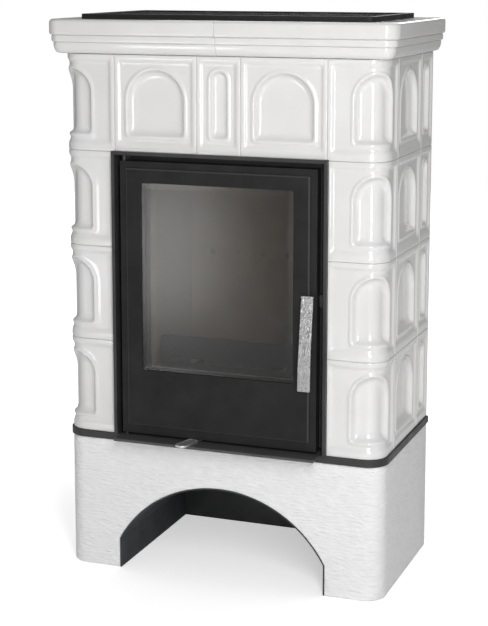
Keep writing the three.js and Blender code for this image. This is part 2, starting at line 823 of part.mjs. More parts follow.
/** The front frame: a strip, a web through the tiles, the landing with its neck, and the keeper. */
function frontFrame() {
  const foot = bandTop + seat;
  const ring = (outer, inner, outerTop, innerTop, y0, y1) => {
    const shape = polygon([
      [outer, foot], [outer, outerTop], [-outer, outerTop], [-outer, foot],
      [-inner, foot], [-inner, innerTop], [inner, innerTop], [inner, foot]]);
    return solid(extrudeBack(shape, y0, y1));
  };
  const strip = ring(stripOuter, stripInner, stripTop, frameInnerTop, -frameProud, -seat);
  const web = ring(webOuter, webInner, webTop, webTop - frameWeb, -seat - lap, insertFront - seat);
  const landingShape = rect(new THREE.Shape(), -webOuter, doorBottom, webOuter, webTop);
  landingShape.holes.push(landingOutline(new THREE.Path()));
  const landing = solid(extrudeBack(landingShape, landingDepth, landingDepth + landingThickness, 3));
  const neckShape = landingOutline(new THREE.Shape(), landingThickness);
  neckShape.holes.push(landingOutline(new THREE.Path()));
  const neck = solid(extrudeBack(neckShape, landingDepth, insertFront - seat, 3));
  const keeperX = doorHalf + keeperGap;
  const keeper = solid(box([keeperX, doorBack - keeperDepth, spindleZ - keeperHeight / 2],
    [webInner + lap, doorBack, spindleZ + keeperHeight / 2]));
  return piece('front_frame', geometryOf(strip.add(web).add(landing).add(neck).add(keeper)), blackPaint);
}

/** The sill: a ledge in front of the door, whose tongue lies on the base plate. */
function sill() {
  const half = webInner - sillSideGap;
  const ledgeBack = -bandOverhang - seat;
  const shape = polygon([
    [-sillReach, sillTop - sillThickness], [ledgeBack, sillTop - sillThickness],
    [ledgeBack, sillTop - tongueThickness], [sillTongue, sillTop - tongueThickness],
    [sillTongue, sillTop], [-sillReach + sillEdge, sillTop], [-sillReach, sillTop - sillEdge]]);
  return piece('sill', extrudeAcross(shape, -half, half), blackPaint);
}

/** The welded firebox: open in front, on two runners, with an air hole, a lever stud and a flue hole. */
function fireboxBody() {
  const half = fireboxWidth / 2;
  const shell = solid(box([-half, insertFront, fireboxBottom], [half, fireboxBack, fireboxTop]));
  const cavity = solid(box([-chamberHalf, chamberFront, fireboxFloor],
    [chamberHalf, chamberBack, fireboxTop - fireboxWall]));
  const mouthShape = landingOutline(new THREE.Shape());
  const mouth = solid(extrudeBack(mouthShape, insertFront - lap, chamberFront + lap, 3));
  const flueHole = solid(barBack(flueRadius - flueWall, 0, flueHeight, chamberBack - lap, fireboxBack + lap));
  const airHole = solid(barUp(airHoleRadius, leverPivotOffset, leverPivotDepth + airHoleReach,
    fireboxBottom - lap, fireboxFloor + lap));
  let body = shell.subtract(cavity).subtract(mouth).subtract(flueHole).subtract(airHole);
  [-1, 1].forEach((side) => {
    const x = (side * runnerSpacing) / 2;
    const runner = box([x - runnerWidth / 2, insertFront + runnerSetback, bandTop + seat],
      [x + runnerWidth / 2, fireboxBack, fireboxBottom + lap]);
    body = body.add(solid(runner));
  });
  const stud = barUp(pivotRadius, leverPivotOffset, leverPivotDepth, bandTop + seat, fireboxBottom + lap, 12);
  return piece('firebox_body', geometryOf(body.add(solid(stud))), greySteel);
}

/** The angle that carries the collars of the tiles above the door, fixed to the firebox's front. */
function lintelAngle() {
  const half = frontOpening / 2 - seat;
  const top = openingTop + tileJoint / 2 + collarInset - seat;
  const front = tileFaceDepth + seat;
  const back = insertFront - seat;
  const shape = polygon([
    [front, top - lintelThickness], [back, top - lintelThickness], [back, top + lintelLeg],
    [back - lintelThickness, top + lintelLeg], [back - lintelThickness, top], [front, top]]);
  return piece('lintel_angle', extrudeAcross(shape, -half, half), greySteel);
}

/** The rear panel, with the flue's hole and a lip at the top that the grille rests on. */
function rearPanel() {
  const wide = halfWidth - tileDepth - seat;
  const slim = halfWidth - corniceReach - seat;
  const foot = bandTop + seat;
  const top = corniceTop + tileJoint;
  const shape = polygon([
    [-wide, foot], [wide, foot], [wide, jacketTop], [slim, jacketTop],
    [slim, top], [-slim, top], [-slim, jacketTop], [-wide, jacketTop]]);
  const hole = new THREE.Path();
  hole.absarc(0, flueHeight, flueRadius + flueClearance, 0, 4 * quarter, false);
  shape.holes.push(hole);
  const panel = solid(extrudeBack(shape, depth - sheet, depth, 12));
  const lip = solid(box([-slim, depth - grilleRearInset - grilleRim, top - sheet], [slim, depth - lap, top]));
  return piece('rear_panel', geometryOf(panel.add(lip)), greySteel);
}

/** The flue collar: a tube with a flange against the firebox's back. */
function flueCollar() {
  const flangeStart = fireboxBack + seat;
  const flangeEnd = flangeStart + flueFlangeThickness;
  const inner = flueRadius - flueWall;
  const profile = [
    [inner, flangeStart], [flueRadius + flueFlange, flangeStart], [flueRadius + flueFlange, flangeEnd],
    [flueRadius, flangeEnd], [flueRadius, rearMost], [inner, rearMost], [inner, flangeStart]];
  const geometry = new THREE.LatheGeometry(profile.map(([r, y]) => new THREE.Vector2(r, y)), 24);
  return piece('flue_collar', geometry, blackPaint, [0, 0, flueHeight]);
}

/** The insert's steelwork that doesn't move. */
function insert() {
  const group = new THREE.Group();
  const bottomPin = barUp(hingePinRadius, hingeX, hingeY, sillTop + seat, doorBottom + pinEngagement);
  const topPin = barUp(hingePinRadius, hingeX, hingeY, doorTop - pinEngagement, frameInnerTop - seat);
  group.add(
    frontFrame(),
    sill(),
    fireboxBody(),
    lintelAngle(),
    rearPanel(),
    flueCollar(),
    piece('hinge_pin_lower', bottomPin, greySteel),
    piece('hinge_pin_upper', topPin, greySteel),
  );
  return group;
}

// ---------------------------------------------------------------------------------------------
// Fire chamber
// ---------------------------------------------------------------------------------------------

const grateY = (chamberFront + chamberBack) / 2;

/** The hearth slab, with a stepped opening that holds the grate. */
function hearth() {
  const half = chamberHalf - seat;
  const slab = solid(box([-half, chamberFront + seat, hearthBottom], [half, chamberBack - seat, hearthTop]));
  const seatHalf = [grateWidth / 2 + seat, grateLength / 2 + seat];
  const holeHalf = seatHalf.map((size) => size - hearthLedge);
  const recess = solid(box([-seatHalf[0], grateY - seatHalf[1], hearthTop - grateThickness],
    [seatHalf[0], grateY + seatHalf[1], hearthTop + lap]));
  const hole = solid(box([-holeHalf[0], grateY - holeHalf[1], hearthBottom - lap],
    [holeHalf[0], grateY + holeHalf[1], hearthTop]));
  return piece('hearth_slab', geometryOf(slab.subtract(recess).subtract(hole)), fireclay);
}

/** The cast grate, slotted from front to back. */
function grate() {
  const bottom = hearthTop - grateThickness + seat;
  const top = bottom + grateThickness;
  const pitch = (grateWidth - 2 * grateBorder) / grateSlots;
  const reach = grateLength / 2 - grateBorder;
  let body = solid(box([-grateWidth / 2, grateY - grateLength / 2, bottom],
    [grateWidth / 2, grateY + grateLength / 2, top]));
  for (let k = 0; k < grateSlots; k += 1) {
    const x = -grateWidth / 2 + grateBorder + (k + 0.5) * pitch;
    body = body.subtract(solid(box([x - grateSlotWidth / 2, grateY - reach, bottom - lap],
      [x + grateSlotWidth / 2, grateY + reach, top + lap])));
  }
  return piece('grate', geometryOf(body), castIron);
}

/** A side lining slab; the front corner that faces the fire is chamfered. */
function sideLining(side) {
  const outer = chamberHalf - seat;
  const inner = outer - liningThickness;
  const front = chamberFront + liningSetback;
  const back = chamberBack - seat;
  const chamfer = liningThickness / 2;
  const shape = polygon([
    [side * outer, front], [side * (inner + chamfer), front], [side * inner, front + chamfer],
    [side * inner, back], [side * outer, back]]);
  return extrudeUp(shape, liningBottom, liningTop);
}

/** The back lining slab, with a row of secondary-air holes. */
function backLining() {
  const half = chamberHalf - liningThickness - 2 * seat;
  const back = chamberBack - seat;
  const shape = rect(new THREE.Shape(), -half, liningBottom, half, liningTop);
  for (let k = 0; k < airJetCount; k += 1) {
    const jet = new THREE.Path();
    const x = (k - (airJetCount - 1) / 2) * airJetPitch;
    jet.absarc(x, liningBottom + airJetHeight, airJetRadius, 0, 4 * quarter, false);
    shape.holes.push(jet);
  }
  return piece('lining_back', extrudeBack(shape, back - liningThickness, back, 3), fireclay);
}

/** The baffle on top of the linings, which leaves a throat for the smoke in front. */
function baffle() {
  const half = chamberHalf - seat;
  const front = chamberFront + baffleThroat;
  const bottom = liningTop + seat;
  const nose = baffleThickness / 2;
  const shape = polygon([
    [front, bottom + nose], [front + nose, bottom], [chamberBack - seat, bottom],
    [chamberBack - seat, bottom + baffleThickness], [front, bottom + baffleThickness]]);
  return piece('baffle', extrudeAcross(shape, -half, half), fireclay);
}

/** The log guard: a slotted plate that stands on the hearth behind the glass. */
function logGuard() {
  const half = logGuardWidth / 2;
  const bottom = hearthTop + seat;
  const front = chamberFront + logGuardSetback;
  const back = front + logGuardThickness;
  const shape = roundedRect(new THREE.Shape(), -half, bottom, half, bottom + logGuardHeight, logGuardCorner);
  const pitch = (logGuardWidth - 2 * logGuardEnd) / logGuardSlots;
  const slotHalf = (pitch - logGuardRib) / 2;
  const slotFoot = bottom + logGuardSlotFoot;
  let body = solid(extrudeBack(shape, front, back, 4));
  for (let k = 0; k < logGuardSlots; k += 1) {
    const x = -half + logGuardEnd + (k + 0.5) * pitch;
    body = body.subtract(solid(box([x - slotHalf, front - lap, slotFoot],
      [x + slotHalf, back + lap, slotFoot + logGuardSlotHeight])));
  }
  return piece('log_guard', geometryOf(body), castIron);
}

/** The ash pan: a folded tray with a front lip. */
function ashPan() {
  const half = ashPanWidth / 2;
  const front = chamberFront + ashPanSetback;
  const back = front + ashPanLength;
  const bottom = fireboxFloor + seat;
  const top = bottom + ashPanHeight;
  const tray = solid(box([-half, front, bottom], [half, back, top]));
  const inside = solid(box([-half + panWall, front + panWall, bottom + panWall],
    [half - panWall, back - panWall, top + lap]));
  const lip = solid(box([-ashPanLipWidth / 2, front - ashPanLip, top - panWall],
    [ashPanLipWidth / 2, front + panWall / 2, top]));
  return piece('ash_pan', geometryOf(tray.subtract(inside).add(lip)), greySteel);
}

/** Everything inside the firebox. */
function fireChamber() {
  const group = new THREE.Group();
  group.add(
    hearth(),
    grate(),
    piece('lining_left', sideLining(-1), fireclay),
    piece('lining_right', sideLining(1), fireclay),
    backLining(),
    baffle(),
    logGuard(),
    ashPan(),
  );
  return group;
}

// ---------------------------------------------------------------------------------------------
// Door and handle
// ---------------------------------------------------------------------------------------------

/** A hole the size of the window, as a path in X and Z. */
const windowPath = (grow = 0) => roundedRect(new THREE.Path(),
  -windowHalf - grow, windowFoot - grow, windowHalf + grow, windowHead + grow, windowCorner + grow);

/** The door frame, with the window, the glass rebate, two pin holes and the spindle's bore. */
function doorFrame() {
  const shape = rect(new THREE.Shape(), -doorHalf, doorBottom, doorHalf, doorTop);
  shape.holes.push(windowPath());
  const slab = solid(extrudeBack(shape, doorFront, doorBack, 3));
  const rebate = solid(box([-glassHalf - seat, glassFront - seat, glassFoot - seat],
    [glassHalf + seat, doorBack + lap, glassHead + seat]));
  const pinHole = (z0, z1) => solid(barUp(hingePinRadius + seat, hingeX, hingeY, z0, z1));
  const bore = solid(barBack(spindleRadius + seat, spindleX, spindleZ, doorFront - lap, doorBack + lap));
  const body = slab.subtract(rebate).subtract(bore)
    .subtract(pinHole(doorBottom - lap, doorBottom + pinEngagement + seat))
    .subtract(pinHole(doorTop - pinEngagement - seat, doorTop + lap));
  return piece('door_frame', geometryOf(body), blackPaint);
}

/** The raised front plate: bevelled outside and round the window, bare below it. */
function doorPlate() {
  const half = doorHalf - plateReveal;
  const z0 = doorBottom + plateBottomReveal;
  const z1 = doorTop - plateReveal;
  const bevel = plateBevel;
  const shape = rect(new THREE.Shape(), -half + bevel, z0 + bevel, half - bevel, z1 - bevel);
  shape.holes.push(windowPath(bevel));
  const geometry = new THREE.ExtrudeGeometry(shape, {
    depth: plateThickness - bevel, bevelEnabled: true, bevelThickness: bevel, bevelSize: bevel,
    bevelSegments: 1, curveSegments: 3,
  });
  geometry.rotateX(quarter);
  geometry.translate(0, plateFront + plateThickness, 0);
  const back = solid(box([-doorHalf, plateFront + plateThickness, doorBottom],
    [doorHalf, plateFront + plateThickness + 2 * bevel, doorTop]));
  const bore = solid(barBack(spindleRadius + seat, spindleX, spindleZ, plateFront - lap, doorFront));
  return piece('door_front_plate', geometryOf(solid(geometry).subtract(back).subtract(bore)), blackPaint);
}

/** The glass, and the clamped ring that holds it in its rebate. */
function doorGlass() {
  const pane = box([-glassHalf, glassFront, glassFoot], [glassHalf, glassFront + glassThickness, glassHead]);
  const ring = rect(new THREE.Shape(), -glassHalf, glassFoot, glassHalf, glassHead);
  ring.holes.push(rect(new THREE.Path(), -glassHalf + retainerWidth, glassFoot + retainerWidth,
    glassHalf - retainerWidth, glassHead - retainerWidth));
  const ringFront = glassFront + glassThickness + seat;
  return [
    piece('door_glass', pane, darkGlass),
    piece('glass_retainer', extrudeBack(ring, ringFront, ringFront + retainerThickness), greySteel),
  ];
}

/** The rope seal on the door's back: an eight-sided section carried round a rounded rectangle. */
function doorGasket() {
  const front = doorBack + seat;
  const back = landingDepth - seat;
  const round = (back - front) / 4;
  const inner = gasketThickness / 2 - round;
  const outline = (path, grow) => roundedRect(path,
    -gasketHalf - grow, gasketBottom - grow, gasketHalf + grow, gasketTop + grow, gasketCorner + grow);
  const shape = outline(new THREE.Shape(), inner);
  shape.holes.push(outline(new THREE.Path(), -inner));
  const geometry = new THREE.ExtrudeGeometry(shape, {
    depth: back - front - 2 * round, bevelEnabled: true, bevelThickness: round, bevelSize: round,
    bevelSegments: 1, curveSegments: 3,
  });
  geometry.rotateX(quarter);
  geometry.translate(0, back - round, 0);
  return piece('door_gasket', geometry, rope);
}

/** The handle: a bowed strip that stands off the door at its foot, with a boss on its spindle. */
function handleBar() {
  const bow = (t) => (handleStandFoot - handleStandTop) * Math.sin(quarter * t) ** handleBow;
  const back = (t) => plateFront - handleStandTop - bow(t);
  const steps = 12;
  const outline = [];
  for (let k = 0; k <= steps; k += 1) outline.push([back(k / steps), handleTop - (handleLength * k) / steps]);
  for (let k = steps; k >= 0; k -= 1) {
    outline.push([back(k / steps) - handleThickness, handleTop - (handleLength * k) / steps]);
  }
  const half = handleWidth / 2;
  const strip = solid(extrudeAcross(polygon(outline), spindleX - half, spindleX + half));
  const bossStart = back(spindleDrop / handleLength) - handleThickness / 2;
  const boss = solid(barBack(spindleRadius + bossWall, spindleX, spindleZ, bossStart, bossEnd, 20));
  const socketStart = bossEnd - bossSocket;
  const socket = solid(barBack(spindleRadius + seat, spindleX, spindleZ, socketStart, bossEnd + lap, 20));
  return piece('handle_bar', geometryOf(strip.add(boss).subtract(socket)), stainless);
}

/** The handle's spindle through the door, and the latch cam on its inner end. */
function latch() {
  const start = bossEnd - bossSocket + seat;
  const camStart = doorBack + seat;
  const camEnd = camStart + camThickness;
  const spindle = barBack(spindleRadius, spindleX, spindleZ, start, camEnd + spindleEnd, 20);
  const hub = solid(barBack(camHub, spindleX, spindleZ, camStart, camEnd, 20));
  const tongue = solid(box([spindleX, camStart, spindleZ - camTongue / 2],
    [doorHalf, camEnd, spindleZ + camTongue / 2]));
  const bore = solid(barBack(spindleRadius + seat, spindleX, spindleZ, camStart - lap, camEnd + lap, 20));
  return [
    piece('handle_spindle', spindle, greySteel),
    piece('latch_cam', geometryOf(hub.add(tongue).subtract(bore)), greySteel),
  ];
}

/** The door with its handle, closed. */
function door() {
  const group = new THREE.Group();
  const handle = new THREE.Group();
  handle.add(handleBar(), ...latch());
  group.add(doorFrame(), doorPlate(), ...doorGlass(), doorGasket(), handle);
  return group;
}

// ---------------------------------------------------------------------------------------------
// Air control
// ---------------------------------------------------------------------------------------------

/** The lever: a tongue with a raised rim at its wide end, turning on the firebox's stud. */
function airLever() {
  const length = (leverPivotDepth - leverTipY) / Math.cos(THREE.MathUtils.degToRad(leverAngle));
  const corner = leverCorner;
  const half = leverWidth / 2;
  const neck = leverNeck / 2;
  const blade = new THREE.Shape();
  blade.moveTo(-half, -length + corner);
  blade.absarc(-half + corner, -length + corner, corner, 2 * quarter, 3 * quarter, false);
  blade.absarc(half - corner, -length + corner, corner, 3 * quarter, 4 * quarter, false);
  blade.lineTo(half, -length + leverBlade);
  blade.lineTo(neck, -length + leverBlade + neck);
  blade.lineTo(neck, 0);
  blade.absarc(0, 0, neck, 0, 2 * quarter, false);
  blade.lineTo(-neck, -length + leverBlade + neck);
  blade.lineTo(-half, -length + leverBlade);
  blade.closePath();
  const rimPath = roundedRect(new THREE.Shape(), -half, -length, half, -length + sillReach, corner);
  rimPath.holes.push(roundedRect(new THREE.Path(), -half + leverRim, -length + leverRim,
    half - leverRim, -length + sillReach - leverRim, corner - leverRim));
  const plate = solid(extrudeUp(blade, leverBottom, leverTop, 4));
  const rim = solid(extrudeUp(rimPath, leverTop - leverThickness / 2, leverTop + leverRimHeight, 4));
  const bore = solid(barUp(pivotRadius + seat, 0, 0, leverBottom - lap, leverTop + lap, 12));
  return piece('air_lever', geometryOf(plate.add(rim).subtract(bore)), chrome);
}

/** The damper: a sector plate on the lever that covers the firebox's air hole. */
function airDamper() {
  const spread = THREE.MathUtils.degToRad(damperSpread / 2);
  const shape = new THREE.Shape();
  shape.absarc(0, 0, damperRadius, quarter - spread, quarter + spread, false);
  shape.absarc(0, 0, damperHub, quarter + spread, 5 * quarter - spread, false);
  shape.closePath();
  const plate = solid(extrudeUp(shape, damperBottom, damperTop, 10));
  const bore = solid(barUp(pivotRadius + seat, 0, 0, damperBottom - lap, damperTop + lap, 12));
  return piece('air_damper', geometryOf(plate.subtract(bore)), greySteel);
}

/** The air control, turned to its rest angle about the stud. */
function airControl() {
  const group = new THREE.Group();
  group.position.set(leverPivotOffset, leverPivotDepth, 0);
  group.rotation.z = THREE.MathUtils.degToRad(-leverAngle);
  group.add(airLever(), airDamper());
  return group;
}

// ---------------------------------------------------------------------------------------------
// The stove
// ---------------------------------------------------------------------------------------------

const stove = new THREE.Group();
stove.add(plinth(), tileJacket(), cornice(), topGrille(), insert(), fireChamber(), door(), airControl());
const outline = new THREE.Box3().setFromObject(stove, true);
stove.position.y = -(outline.min.y + outline.max.y) / 2;

export default stove;
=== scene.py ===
"""The looks of a tiled wood stove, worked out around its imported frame.

Metres, +Z up. The door faces -Y, and the origin is on the floor under the middle of the outline.
"""

import logging
import math
from collections.abc import Callable, Sequence
from dataclasses import dataclass, replace
from enum import Enum

import bpy
import numpy as np
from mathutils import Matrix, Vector
from mathutils.geometry import tessellate_polygon


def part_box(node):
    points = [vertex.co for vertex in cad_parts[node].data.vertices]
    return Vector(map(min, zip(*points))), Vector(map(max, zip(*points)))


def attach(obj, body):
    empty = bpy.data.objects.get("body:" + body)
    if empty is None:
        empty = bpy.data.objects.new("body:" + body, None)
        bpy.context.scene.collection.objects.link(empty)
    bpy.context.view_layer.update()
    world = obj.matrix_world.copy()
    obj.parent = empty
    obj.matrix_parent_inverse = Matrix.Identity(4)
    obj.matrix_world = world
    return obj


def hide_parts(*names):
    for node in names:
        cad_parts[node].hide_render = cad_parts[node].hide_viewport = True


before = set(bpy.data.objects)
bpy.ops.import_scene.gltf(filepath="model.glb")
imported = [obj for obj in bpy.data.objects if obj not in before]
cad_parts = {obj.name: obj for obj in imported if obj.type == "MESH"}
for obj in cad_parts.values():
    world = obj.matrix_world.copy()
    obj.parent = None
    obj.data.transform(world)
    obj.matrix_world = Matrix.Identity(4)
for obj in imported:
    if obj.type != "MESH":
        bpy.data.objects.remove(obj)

LOG = logging.getLogger("stove")
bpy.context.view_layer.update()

Array = np.ndarray
Surface = tuple[Array, Array]
Colour = tuple[float, float, float, float]
Place = tuple[float, float, float]
Rows = tuple[tuple[float, ...], ...]
PlanLine = Callable[[Array, Array], tuple[Array, Array]]

MM = 0.001
WELD_DISTANCE = 2e-6
QUARTER = math.pi / 2
TINY = 1e-9
BEVEL_WELD = 1e-5
BEVEL_ANGLE = math.radians(35)
BEVEL_SEGMENTS = 2


# ---------------------------------------------------------------------------------------------
# Meshes from arrays
# ---------------------------------------------------------------------------------------------


def smooth_rows(rows: Sequence[Sequence[float]], steps: int) -> Array:
    """Carries a smooth curve through rows of numbers.

    Each span is a Catmull-Rom cubic: it passes through both of its rows, and its slope at a row is
    half the difference of that row's two neighbours.

    Args:
        rows: The rows, one point of any number of values each.
        steps: New points in each span.

    Returns:
        The points on the curve, both ends included.
    """
    p = np.asarray(rows, float)
    p = np.vstack([2 * p[0] - p[1], p, 2 * p[-1] - p[-2]])
    t = (np.arange(steps) / steps)[None, :, None]
    a, b, c, d = (p[k : len(p) - 3 + k][:, None, :] for k in range(4))
    curve = 0.5 * (2 * b + (c - a) * t + (2 * a - 5 * b + 4 * c - d) * t**2 + (3 * b - 3 * c + d - a) * t**3)
    return np.vstack([curve.reshape(-1, p.shape[1]), p[-2]])


def grid_triangles(rows: int, columns: int, wrap_rows: bool = False, wrap_columns: bool = True) -> Array:
    """Triangles of a grid of points, numbered row by row.

    Args:
        rows: Number of rows.
        columns: Number of points in a row.
        wrap_rows: Joins the last row to the first.
        wrap_columns: Joins the last point of each row to its first.

    Returns:
        An array of point numbers, three to a triangle.
    """
    r = np.arange(rows if wrap_rows else rows - 1)[:, None]
    c = np.arange(columns if wrap_columns else columns - 1)[None, :]
    r1, c1 = (r + 1) % rows, (c + 1) % columns
    a, b = r * columns + c, r * columns + c1
    d, e = r1 * columns + c, r1 * columns + c1
    return np.concatenate([np.stack([a, b, e], -1).reshape(-1, 3), np.stack([a, e, d], -1).reshape(-1, 3)])


def fan(ring: Array, flip: bool = False) -> Array:
    """Triangles that close a flat convex ring of point numbers.

    Args:
        ring: The point numbers, in order.
        flip: Turns the triangles the other way round.

    Returns:
        An array of point numbers, three to a triangle.
    """
    made = np.stack([np.full(len(ring) - 2, ring[0]), ring[1:-1], ring[2:]], -1)
    return made[:, ::-1] if flip else made


def join(parts: Sequence[Surface]) -> Surface:
    """Puts several (points, triangles) pairs into one pair.

    Args:
        parts: The pairs.

    Returns:
        All points, and all triangles with their numbers moved on.
    """
    starts = np.cumsum([0] + [len(points) for points, _ in parts[:-1]])
    return (
        np.vstack([points for points, _ in parts]),
        np.vstack([triangles + start for (_, triangles), start in zip(parts, starts)]),
    )


def new_piece(
    name: str, points: Array, triangles: Array, sharp_degrees: float = 40.0, welded: bool = True
) -> bpy.types.Object:
    """Makes a mesh object of points and triangles.

    Points closer than the weld distance become one, and triangles that lose a side are dropped.

    Args:
        name: The piece's name.
        points: Points in metres, in the stove's frame.
        triangles: Point numbers, three to a triangle.
        sharp_degrees: Edges that turn more than this stay sharp.
        welded: False keeps every point as it is given.

    Returns:
        The new object, linked to the scene.
    """
    if welded:
        keys = np.round(points / WELD_DISTANCE).astype(np.int64)
        _, first, number = np.unique(keys, axis=0, return_index=True, return_inverse=True)
        points, triangles = points[first], number.reshape(-1)[triangles]
        a, b, c = triangles.T
        triangles = triangles[(a != b) & (b != c) & (c != a)]
    mesh = bpy.data.meshes.new(name)
    mesh.from_pydata(points.tolist(), [], triangles.tolist())
    mesh.polygons.foreach_set("use_smooth", np.ones(len(mesh.polygons), bool))
    mesh.set_sharp_from_angle(angle=math.radians(sharp_degrees))
    mesh.update()
    piece = bpy.data.objects.new(name, mesh)
    bpy.context.scene.collection.objects.link(piece)
    return piece


def swept(sections: Array, closed_path: bool = False) -> Surface:
    """Skins a row of closed sections, and closes the two ends of an open row with fans.

    Args:
        sections: Points by section, by place round it, and by axis.
        closed_path: Joins the last section to the first.

    Returns:
        Points and triangles.
    """
    rows, columns = sections.shape[:2]
    triangles = [grid_triangles(rows, columns, wrap_rows=closed_path)]
    if not closed_path:
        first = np.arange(columns)
        triangles += [fan(first, flip=True), fan(first + (rows - 1) * columns)]
    return sections.reshape(-1, 3), np.vstack(triangles)


def facing_out(points: Array, triangles: Array) -> Surface:
    """Turns a closed surface's triangles round if the volume that they enclose is negative.

    Args:
        points: The surface's points.
        triangles: Point numbers, three to a triangle.

    Returns:
        The same points, and triangles that face outwards.
    """
    a, b, c = (points[triangles[:, k]] for k in range(3))
    volume = float(np.einsum("ij,ij->i", a, np.cross(b, c)).sum())
    return points, triangles if volume > 0 else triangles[:, ::-1]


def turned(profile: Sequence[Sequence[float]], at: tuple[float, float], steps: int = 48) -> Surface:
    """Turns a closed profile about a line that runs along Y.

    A point's angle goes once round the line in equal steps; its radius and its Y are the profile's.

    Args:
        profile: Radius and Y, all round the section.
        at: The line's X and Z.
        steps: Places round the line.

    Returns:
        Points and triangles.
    """
    shape = np.asarray(profile, float)
    angle = np.linspace(0, 2 * np.pi, steps, endpoint=False)[:, None]
    x = at[0] + shape[:, 0] * np.cos(angle)
    z = at[1] + shape[:, 0] * np.sin(angle)
    y = np.broadcast_to(shape[:, 1], x.shape)
    points = np.stack([x, y, z], -1).reshape(-1, 3)
    return facing_out(points, grid_triangles(steps, len(shape), wrap_rows=True))


def rounded_ring(x0: float, x1: float, z0: float, z1: float, radius: float, steps: int = 8) -> Array:
    """The points of a rectangle with round corners, walked from its lower right corner upwards.

    Each corner is a quarter circle of the radius, in equal angles.

    Args:
        x0: Left side.
        x1: Right side.
        z0: Foot.
        z1: Top.
        radius: Radius of the corners.
        steps: Spans in a corner.

    Returns:
        Across and up, by point.
    """
    turn = np.linspace(0, QUARTER, steps + 1)
    left, right, low, high = x0 + radius, x1 - radius, z0 + radius, z1 - radius
    centres = ((right, low), (right, high), (left, high), (left, low))
    sides = []
    for k, (cx, cz) in enumerate(centres):
        angle = turn + (k - 1) * QUARTER
        sides.append(np.column_stack([cx + radius * np.cos(angle), cz + radius * np.sin(angle)]))
    return np.vstack(sides)


def dressed(
    piece: bpy.types.Object, material: bpy.types.Material, body: str, replaced: Sequence[str] = ()
) -> bpy.types.Object:
    """Gives a new piece its material, its body and the nodes that it stands for.

    Args:
        piece: The new piece.
        material: Its material.
        body: The body that it rides on.
        replaced: CAD nodes that it stands for.

    Returns:
        The piece.
    """
    piece.data.materials.clear()
    piece.data.materials.append(material)
    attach(piece, body)
    if replaced:
        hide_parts(*replaced)
    LOG.info("piece %s: %d triangles, on %s", piece.name, len(piece.data.polygons), body)
    return piece


def dress_node(node: str, material: bpy.types.Material, bevel: float = 0.0) -> None:
    """Gives a CAD node a material and, with modifiers alone, softened edges.

    Args:
        node: The node's name.
        material: Its material.
        bevel: Width of the softened edges in metres, or 0 for none.
    """
    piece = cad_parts[node]
    for place in piece.material_slots:
        place.material = material
    if not piece.material_slots:
        piece.data.materials.append(material)
    if bevel > 0:
        weld = piece.modifiers.new("weld", "WELD")
        weld.merge_threshold = BEVEL_WELD
        edge = piece.modifiers.new("edge", "BEVEL")
        edge.limit_method = "ANGLE"
        edge.angle_limit = BEVEL_ANGLE
        edge.width = bevel
        edge.segments = BEVEL_SEGMENTS
        edge.use_clamp_overlap = True
    LOG.info("node %s: %s", node, material.name)


# ---------------------------------------------------------------------------------------------
# Finishes
# ---------------------------------------------------------------------------------------------


def mark_wear_and_highlight(piece: bpy.types.Object, shares: Array) -> None:
    """Stores how far a piece's points take the lighter paint, which stands for rubbed paint and a painted
    edge highlight, as the attribute that the stove paint reads.

    Args:
        piece: A piece whose points weren't welded into fewer.
        shares: From 0 to 1, by point.
    """
    wear_and_highlight = piece.data.attributes.new("wear_and_highlight", "FLOAT", "POINT")
    wear_and_highlight.data.foreach_set("value", np.asarray(shares, np.float32))


def grey(level: float, warmth: float = 0.0) -> Colour:
    """A grey of a linear level, warmed or cooled by a small share."""
    return (level * (1 + warmth), level, level * (1 - warmth), 1.0)


def wire(links: bpy.types.NodeLinks, *pairs: tuple[bpy.types.Node, object, bpy.types.Node, object]) -> None:
    """Links outputs to inputs.

    Args:
        links: The node tree's links.
        *pairs: A node, its output, the next node and its input, for each link.
    """
    for source, output, target, socket in pairs:
        links.new(source.outputs[output], target.inputs[socket])


